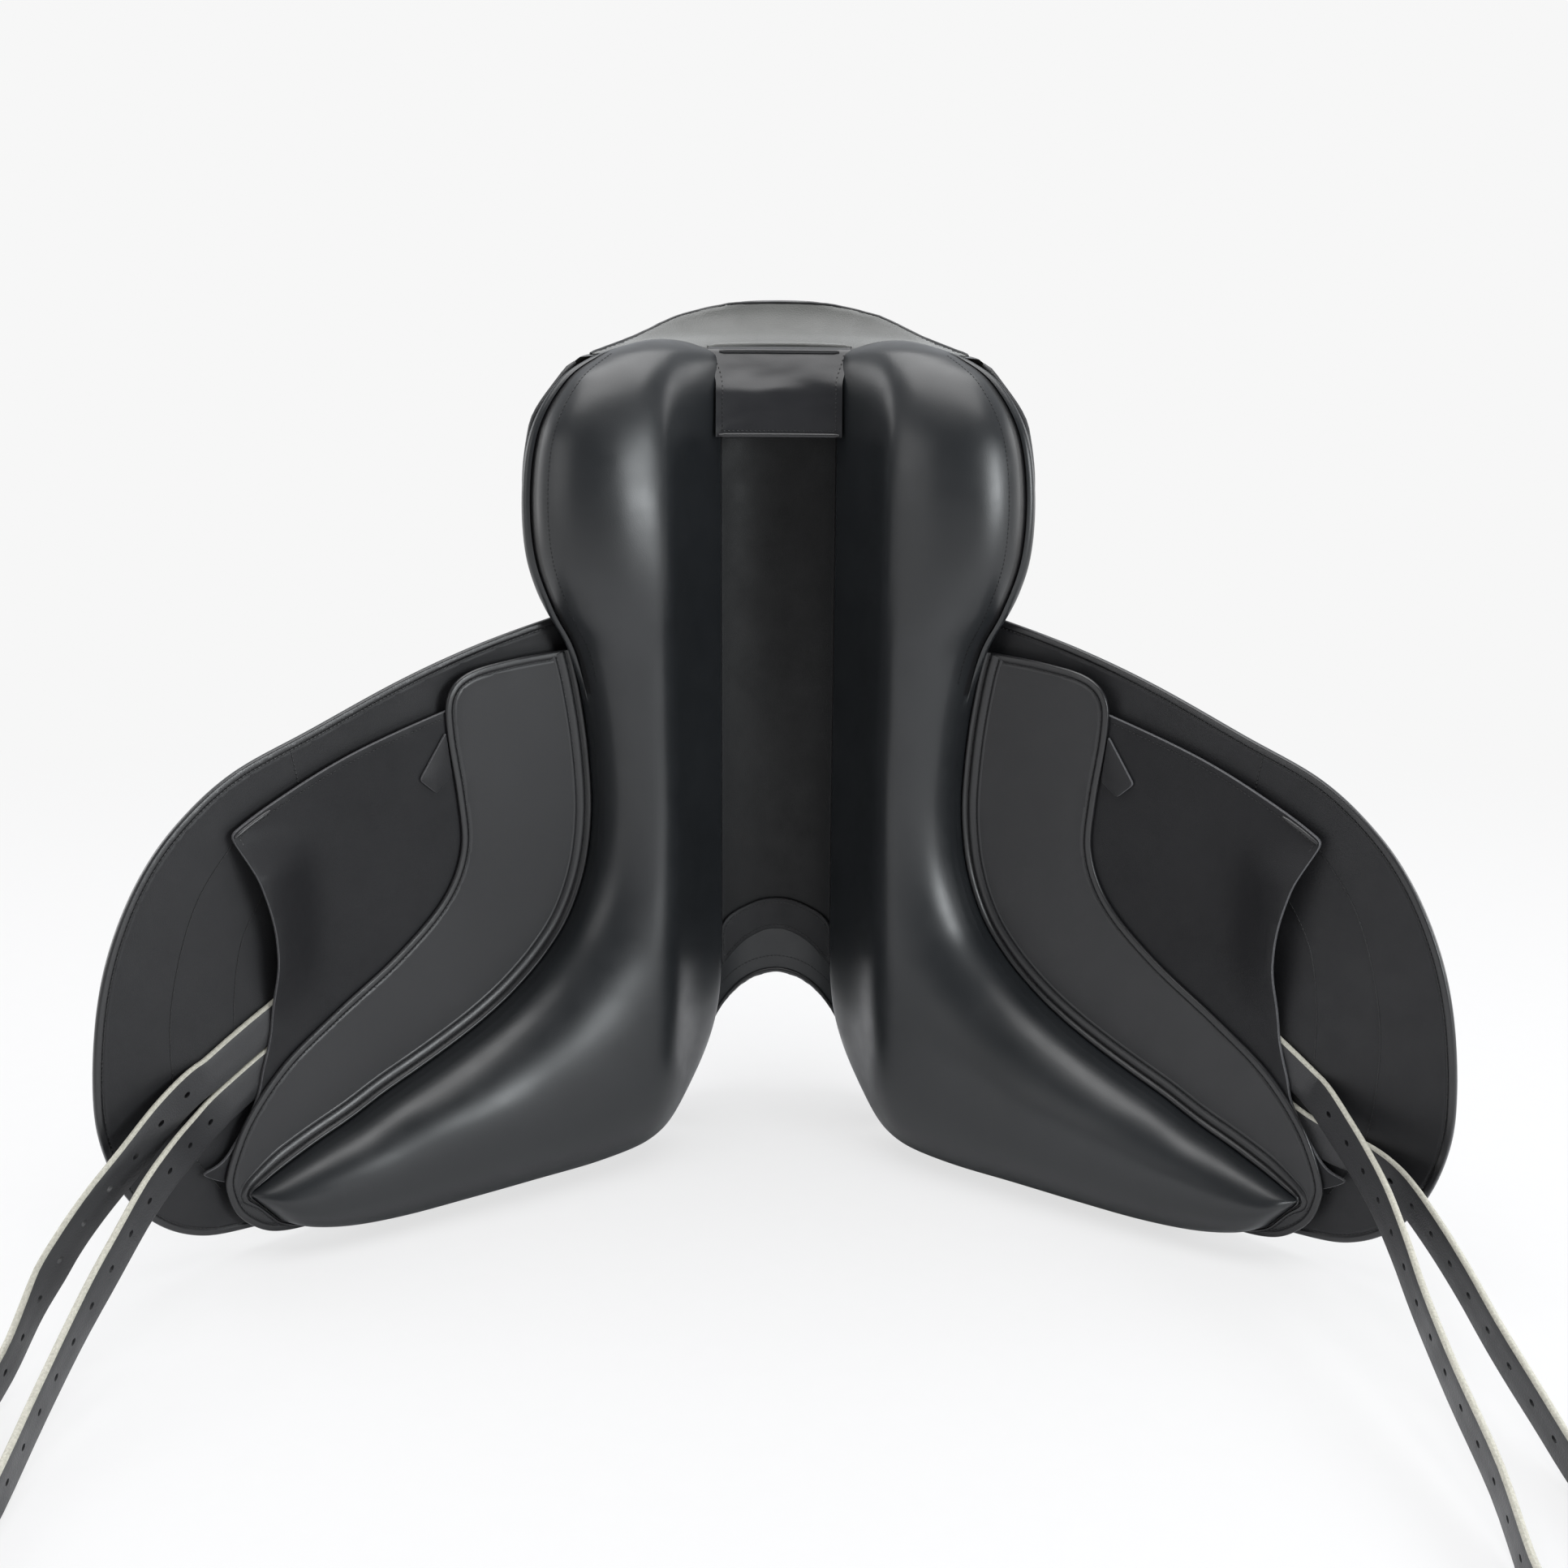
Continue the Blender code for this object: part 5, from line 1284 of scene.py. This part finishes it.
def open_under(z):
    """The seat's underside: over the stirrup bars at its sides, on the webs inside them."""
    _, s_edge, t_edge, _, _ = seat_station(z)
    bound = arc_point(s_edge, t_edge)[0] - FOAM_SIDE
    stops = [(s_edge - FOAM_SIDE, SEAT_SIDE_LOW), (WELL_EDGE + 0.004, SEAT_SIDE_LOW),
             (WELL_EDGE, FOAM_LOW), (ARCH_END, FOAM_LOW)]
    stops += [(s, FOAM_LOW) for s in ARCH_STOPS]
    points = [arc_point(s, t) for s, t in stops]
    return mirror_under([(min(x, bound), y) for x, y in points], z)


def closed_under(z):
    """The underside of the head and of the cantle, along the back line."""
    _, s_edge, t_edge, _, _ = seat_station(z)
    bend = min(s_edge, ARCH_END)
    stops = [mix(s_edge, bend, share) for share in (0.12, 0.50)]
    stops += [mix(bend, MIDDLE, share)
              for share in (0.0 if s_edge > bend else 0.1, 0.2, 0.4, 0.6, 0.8, 1.0)]
    lean = max(t_edge - seat_station(CANTLE_LOW)[2], 0.0) if z > CANTLE_LOW else 0.0
    return mirror_under([arc_point(s, min(HEAD_UNDER, t_edge) + lean) for s in stops], z)


def y_under(z, x):
    """Where the underside of the cantle lies at a height and x."""
    points = closed_under(z)
    return np.interp(x, [p.x for p in points], [p.y for p in points])


def heights(low, high, step=0.006):
    """Heights from low to high with an even step, the stations' own heights among them."""
    inner = [row[0] for row in SEAT_STATIONS if low + 0.002 < row[0] < high - 0.002]
    even = [z for z in np.arange(low, high, step) if all(abs(z - k) > 0.0022 for k in inner)]
    return sorted({low, high, *inner, *even})


def applied(thing):
    """The object with its modifiers made part of its mesh."""
    graph = bpy.context.evaluated_depsgraph_get()
    mesh = bpy.data.meshes.new_from_object(thing.evaluated_get(graph))
    thing.modifiers.clear()
    thing.data = mesh
    return thing


def skinned(name, rings, material, smooth, cutter=None):
    """A body through rings with leather drawn over it: its edges come out soft."""
    shape = Shape(material, THREAD, BOUND_EDGE)
    shape.add(*loft(rings))
    thing = shape.build(name)
    tidy_normals(thing)
    if cutter:
        cutting = thing.modifiers.new("arch", "BOOLEAN")
        cutting.solver = "EXACT"
        cutting.object = cutter
        applied(thing)
        bpy.data.objects.remove(cutter)
    voxels = thing.modifiers.new("skin", "REMESH")
    voxels.mode = "VOXEL"
    voxels.voxel_size = SKIN_VOXEL
    softer = thing.modifiers.new("soft", "SMOOTH")
    softer.factor = 0.5
    softer.iterations = smooth
    applied(thing)
    thing.data.materials.clear()
    for each in shape.materials:
        thing.data.materials.append(each)
    return thing


def sewn_on(thing, paths, cord=None, stitches=True, number=2, exact=False):
    """The piece with stitches and cords along paths; exact cords don't follow its skin."""
    surface = BVHTree.FromObject(thing, bpy.context.evaluated_depsgraph_get())
    mesh = thing.data
    shape = Shape(*mesh.materials)
    shape.add([v.co for v in mesh.vertices], [tuple(p.vertices) for p in mesh.polygons],
              [p.material_index for p in mesh.polygons])
    for path in paths:
        line = [Vector(p) for p in spaced(path, STITCH_PITCH)]
        found = [surface.find_nearest(p) for p in line]
        if stitches:
            add_stitches(shape, [f[0] for f in found], [f[1] for f in found], 1, sink=0.0)
        if cord:
            centres = [f[0] + f[1] * cord * 0.25 for f in found]
            shape.add(*tube((line if exact else centres)[::2], cord), number)
    name = thing.name
    bpy.data.objects.remove(thing)
    return shape.build(name)


def other_leather(thing, material, picked):
    """Gives the faces whose normal's y is picked another leather."""
    thing.data.materials.append(material)
    for face in thing.data.polygons:
        if picked(face.normal.y):
            face.material_index = 3


ARCH_WIDER = 0.34              # how much wider than an ellipse the arch is at the floor
ARCH_WIDE_TO = 0.065           # height where that ends
ARCH_SIDES = 64


def arch_half(z):
    """How much wider than an ellipse the arch is towards the floor."""
    return 1.0 + ARCH_WIDER * (1.0 - ease(0.0, ARCH_WIDE_TO, z))


def arch_cutter():
    turns = [tau * k / ARCH_SIDES for k in range(ARCH_SIDES)]
    round_arch = [(ARCH_HALF * cos(turn), ARCH_HIGH * sin(turn)) for turn in turns]
    rings = [[Vector((x * arch_half(z), y, z)) for x, z in round_arch]
             for y in (ROOT_BEHIND - 0.1, ROOT_BEHIND + 0.2)]
    shape = Shape(THREAD)
    shape.add(*loft(rings))
    thing = shape.build("arch_cutter")
    tidy_normals(thing)
    thing.hide_render = True
    return thing


def head():
    """The cut-back head with the cord along its arch and the seams over it."""
    rings = [seat_ring(z) + closed_under(z) for z in heights(0.0, HEAD_HIGH)]
    thing = skinned("head_leather", rings, SEAT_LEATHER, HEAD_SOFT, arch_cutter())
    other_leather(thing, PANEL_LEATHER, lambda y: y < -0.25)
    under, over, across_top = [], [], []
    for angle in np.linspace(0.02, 0.98, 41) * pi:
        for line, (off_x, off_z) in ((under, HEAD_CORD_OFF), (over, HEAD_SEAM_OFF)):
            z = (ARCH_HIGH + off_z) * sin(angle)
            x = (ARCH_HALF + off_x) * cos(angle) * arch_half(z)
            y = arc_point(MIDDLE + abs(x), HEAD_UNDER)[1] + ROOT_BEHIND
            line.append((x, y, max(z, 0.004)))
        across_top.append(seat_point(HEAD_HIGH - 0.006, angle))
    thing = sewn_on(thing, [under], HEAD_CORD, False)
    thing = sewn_on(thing, [over, across_top])
    finish_piece(thing, "saddle", "seat_leather", "pommel_head")


CREST_FALL = 0.0022            # how much lower the crest is at CREST_HALF from its middle
CREST_HALF = 0.0500
BAND_RISE = 0.0050             # from the cantle's foot to the ends of the band bound round it
BAND_BOW = 0.0038              # how much higher the band's middle is


def crest_drop(point):
    """How much lower the crest makes a point of the cantle."""
    share = (point.z - CANTLE_LOW) / (CANTLE_HIGH - CANTLE_LOW)
    return max(share, 0.0) * CREST_FALL * (point.x / CREST_HALF) ** 2


def cantle():
    """The rear face of the cantle, with the cord round its rim."""
    rings = [seat_ring(z) + closed_under(z) for z in heights(CANTLE_LOW, CANTLE_HIGH, 0.004)]
    thing = skinned("cantle_leather", rings, CANTLE_PAINTED_SHEEN, CANTLE_SOFT)
    # Faces that look towards -Y keep the pale leather, a painted sheen; the rest take the seat's
    # black leather
    other_leather(thing, SEAT_LEATHER, lambda y: y > -0.2)
    for vert in thing.data.vertices:
        vert.co.z -= crest_drop(vert.co)
    rise = np.linspace(CANTLE_LOW + 0.0015, CANTLE_HIGH - 0.0022, 24)
    rim = [seat_point(z, pi) for z in rise] + closed_under(CANTLE_HIGH - 0.0008)
    rim += [seat_point(z, 0.0) for z in rise[::-1]]
    rim = smoothed(spaced([p - Vector((0, 0, crest_drop(p))) for p in rim], 0.004), 6)
    band = [(x, y_under(CANTLE_LOW + 0.004, x),
             CANTLE_LOW + BAND_RISE + BAND_BOW * (1.0 - (x / CREST_HALF) ** 2))
            for x in np.linspace(-CREST_HALF, CREST_HALF, 30)]
    thing = sewn_on(thing, [rim], RIM_CORD, False)
    # The band takes the pale leather as well, with the same painted sheen
    thing = sewn_on(thing, [band], BAND_CORD, False, 0)
    finish_piece(thing, "saddle", "seat_leather", "cantle_back")


WELT_TO_ROW = 0.02             # angle from a welt of the seat to its row of stitches


def seat():
    """The padded seat, with the welts between its middle and its sides."""
    shape = Shape(SEAT_LEATHER, THREAD, BOUND_EDGE)
    shape.add(*loft([fine_ring(z) + open_under(z)
                     for z in heights(HEAD_HIGH + GAP, CANTLE_LOW - GAP)]))
    thing = shape.build("seat_leather")
    tidy_normals(thing)
    welts, rows, bound = [], [], []
    for side in (0, 1):
        line, row = [], []
        for z in np.linspace(HEAD_HIGH + 0.004, CANTLE_LOW - 0.004, 60):
            wide = mix(*SEAT_WELTS, ease(0.20, 0.50, z)) * pi / 2
            line.append(seat_point(z, mix(pi - wide, wide, side)))
            row.append(seat_point(z, mix(pi - wide + WELT_TO_ROW, wide - WELT_TO_ROW, side)))
        welts.append(line)
        rows.append(row)
        bound.append([seat_point(z, pi * side, CORD_SUNK)
                      for z in np.linspace(HEAD_HIGH + 0.004, CANTLE_LOW - 0.002, 90)])
    thing = sewn_on(thing, welts, WELT_CORD, False)
    thing = sewn_on(thing, rows)
    thing = sewn_on(thing, bound, BAND_CORD, False, 0, exact=True)
    finish_piece(thing, "saddle", "seat_leather", "seat_cover", "seat_foam")


def rigid_nodes():
    """The tree and the metal keep their solids, with their finish."""
    for name, thing in frame["nodes"].items():
        if not thing.hide_render:
            wooden = name == "tree_frame"
            thing.data.materials.clear()
            thing.data.materials.append(WOOD if wooden else STEEL)


# Camera, floor and light
PHOTO_SIDE = 1932.0
PHOTO_FOCAL = 2391.0           # in pixels of the photograph
PHOTO_CENTRE = 957.0           # where the saddle's middle is in it
CAMERA_AT = Vector((0.0, -1.1532, 0.6358))
CAMERA_DOWN = radians(15.0)
CAMERA_ROLL = radians(0.35)
BACKDROP = (0.930, 0.930, 0.930, 1.0)
STUDIO_TINT = (0.93, 0.96, 1.0, 1.0)
STUDIO_FRONT = 0.14            # how bright the studio is on the camera's side
STUDIO_BACK = 0.80             # and behind the saddle, where the backdrop hangs
STUDIO_FADE = (-0.35, 0.45)    # where the one runs into the other
FLOOR_RADIUS = 9.0
FLOOR_LOW = -0.0003
FLOOR_FADE = (0.45, 1.70)      # distances over which the floor runs into the backdrop
FLOOR_GLOW = 0.69              # what the floor adds where it is seen, so that shadows stay soft
FLOOR_LIT = "8000 8000 8100, 8200 8200 8300"        # its colours for light that bounces
FLOOR_SEEN = "1750 1750 1780, 1850 1850 1880"       # and where it is seen
WHITE = (1.0, 1.0, 1.0)
# Soft boxes: name, place, target, size, power and colour
LIGHTS = [("top_light", (0.0, 0.12, 2.30), (0.0, 0.12, 0.25), (2.2, 2.1), 62.0, WHITE),
          ("key_light", (1.62, -1.50, 0.80), (-0.05, 0.05, 0.42), (0.80, 0.85), 32.0,
           (0.94, 0.98, 1.0)),
          ("fill_light", (-1.75, -1.35, 1.00), (0.0, 0.05, 0.42), (1.30, 1.20), 9.0, WHITE),
          ("side_light_left", (-2.0, 0.70, 0.80), (0.0, 0.05, 0.35), (1.2, 1.4), 16.0, WHITE),
          ("side_light_right", (2.0, 0.70, 0.80), (0.0, 0.05, 0.35), (1.2, 1.4), 16.0, WHITE)]


def camera():
    data = bpy.data.cameras.new("camera")
    data.sensor_width = 36.0
    data.lens = PHOTO_FOCAL / PHOTO_SIDE * data.sensor_width
    data.shift_x = (PHOTO_SIDE / 2 - PHOTO_CENTRE) / PHOTO_SIDE
    turn = Matrix.Rotation(pi / 2 - CAMERA_DOWN, 4, "X") @ Matrix.Rotation(CAMERA_ROLL, 4, "Z")
    thing = linked("camera", data)
    thing.matrix_world = Matrix.Translation(CAMERA_AT) @ turn
    bpy.context.scene.camera = thing


def seen_directly(tree):
    """1 for rays from the camera and rays through glass, else 0."""
    rays = tree.nodes.new("ShaderNodeLightPath").outputs
    return node(tree, "Math", {0: rays["Is Camera Ray"], 1: rays["Is Transmission Ray"]},
                operation="MAXIMUM")


def world():
    """A studio with a pale backdrop behind the saddle and less light on the camera's side."""
    made = bpy.data.worlds.new("studio")
    bpy.context.scene.world = made
    made.use_nodes = True
    tree = made.node_tree
    studio = tree.nodes["Background"]
    behind = node(tree, "SeparateXYZ", {0: node(tree, "TexCoord", {}, "Generated")}, "Y")
    fill(tree, studio, {"Color": STUDIO_TINT, "Strength":
                        ranged(tree, behind, STUDIO_FRONT, STUDIO_BACK, *STUDIO_FADE)})
    shown = node(tree, "Background", {"Color": BACKDROP})
    mixed = node(tree, "MixShader", {0: seen_directly(tree), 1: studio.outputs[0], 2: shown})
    fill(tree, tree.nodes["World Output"], {"Surface": mixed})


def floor():
    """A pale floor that runs into the backdrop, and keeps the saddle's shadow."""
    bm = bmesh.new()
    bmesh.ops.create_circle(bm, cap_ends=True, segments=96, radius=FLOOR_RADIUS)
    mesh = bpy.data.meshes.new("floor")
    bm.to_mesh(mesh)
    bm.free()
    thing = linked("floor", mesh)
    thing.location = (0.0, 0.0, FLOOR_LOW)
    material, tree, shader = principled("floor")
    seen = seen_directly(tree)
    grain = noise_node(tree, texture_space(tree), 60.0)
    glow = node(tree, "Math", {0: seen, 1: FLOOR_GLOW}, operation="MULTIPLY")
    fill(tree, shader, {"Base Color": blended(tree, seen, coloured(tree, grain, FLOOR_LIT),
                                              coloured(tree, grain, FLOOR_SEEN)),
                        "Roughness": 0.9, "Specular IOR Level": 0.1,
                        "Emission Color": (*WHITE, 1.0), "Emission Strength": glow})
    far = node(tree, "Emission", {"Color": BACKDROP})
    length = node(tree, "VectorMath", {0: node(tree, "TexCoord", {}, "Object")}, "Value",
                  operation="LENGTH")
    mixed = node(tree, "MixShader", {0: ranged(tree, length, 0.0, 1.0, *FLOOR_FADE),
                                     1: shader.outputs[0], 2: far})
    fill(tree, tree.nodes["Material Output"], {"Surface": mixed})
    mesh.materials.append(material)


def lights():
    for name, at, target, size, power, colour in LIGHTS:
        data = bpy.data.lights.new(name, "AREA")
        data.shape = "RECTANGLE"
        data.size, data.size_y = size
        data.energy = power
        data.color = colour
        thing = linked(name, data)
        thing.location = at
        thing.rotation_euler = (Vector(target) - Vector(at)).to_track_quat("-Z", "Y").to_euler()


bpy.context.scene.view_settings.view_transform = "Standard"
camera()
for each_side in (-1, 1):
    for strap in ("rear", "front"):
        girth_strap(each_side, strap)
    panel(each_side)
    sweat_flap(each_side)
    billet_guard(each_side)
    outer_flap(each_side)
    knee_block(each_side)
    keeper_tab(each_side)
    skirt(each_side)
webs()
linings()
gullet_bridge()
seat()
head()
cantle()
rigid_nodes()
world()
floor()
lights()
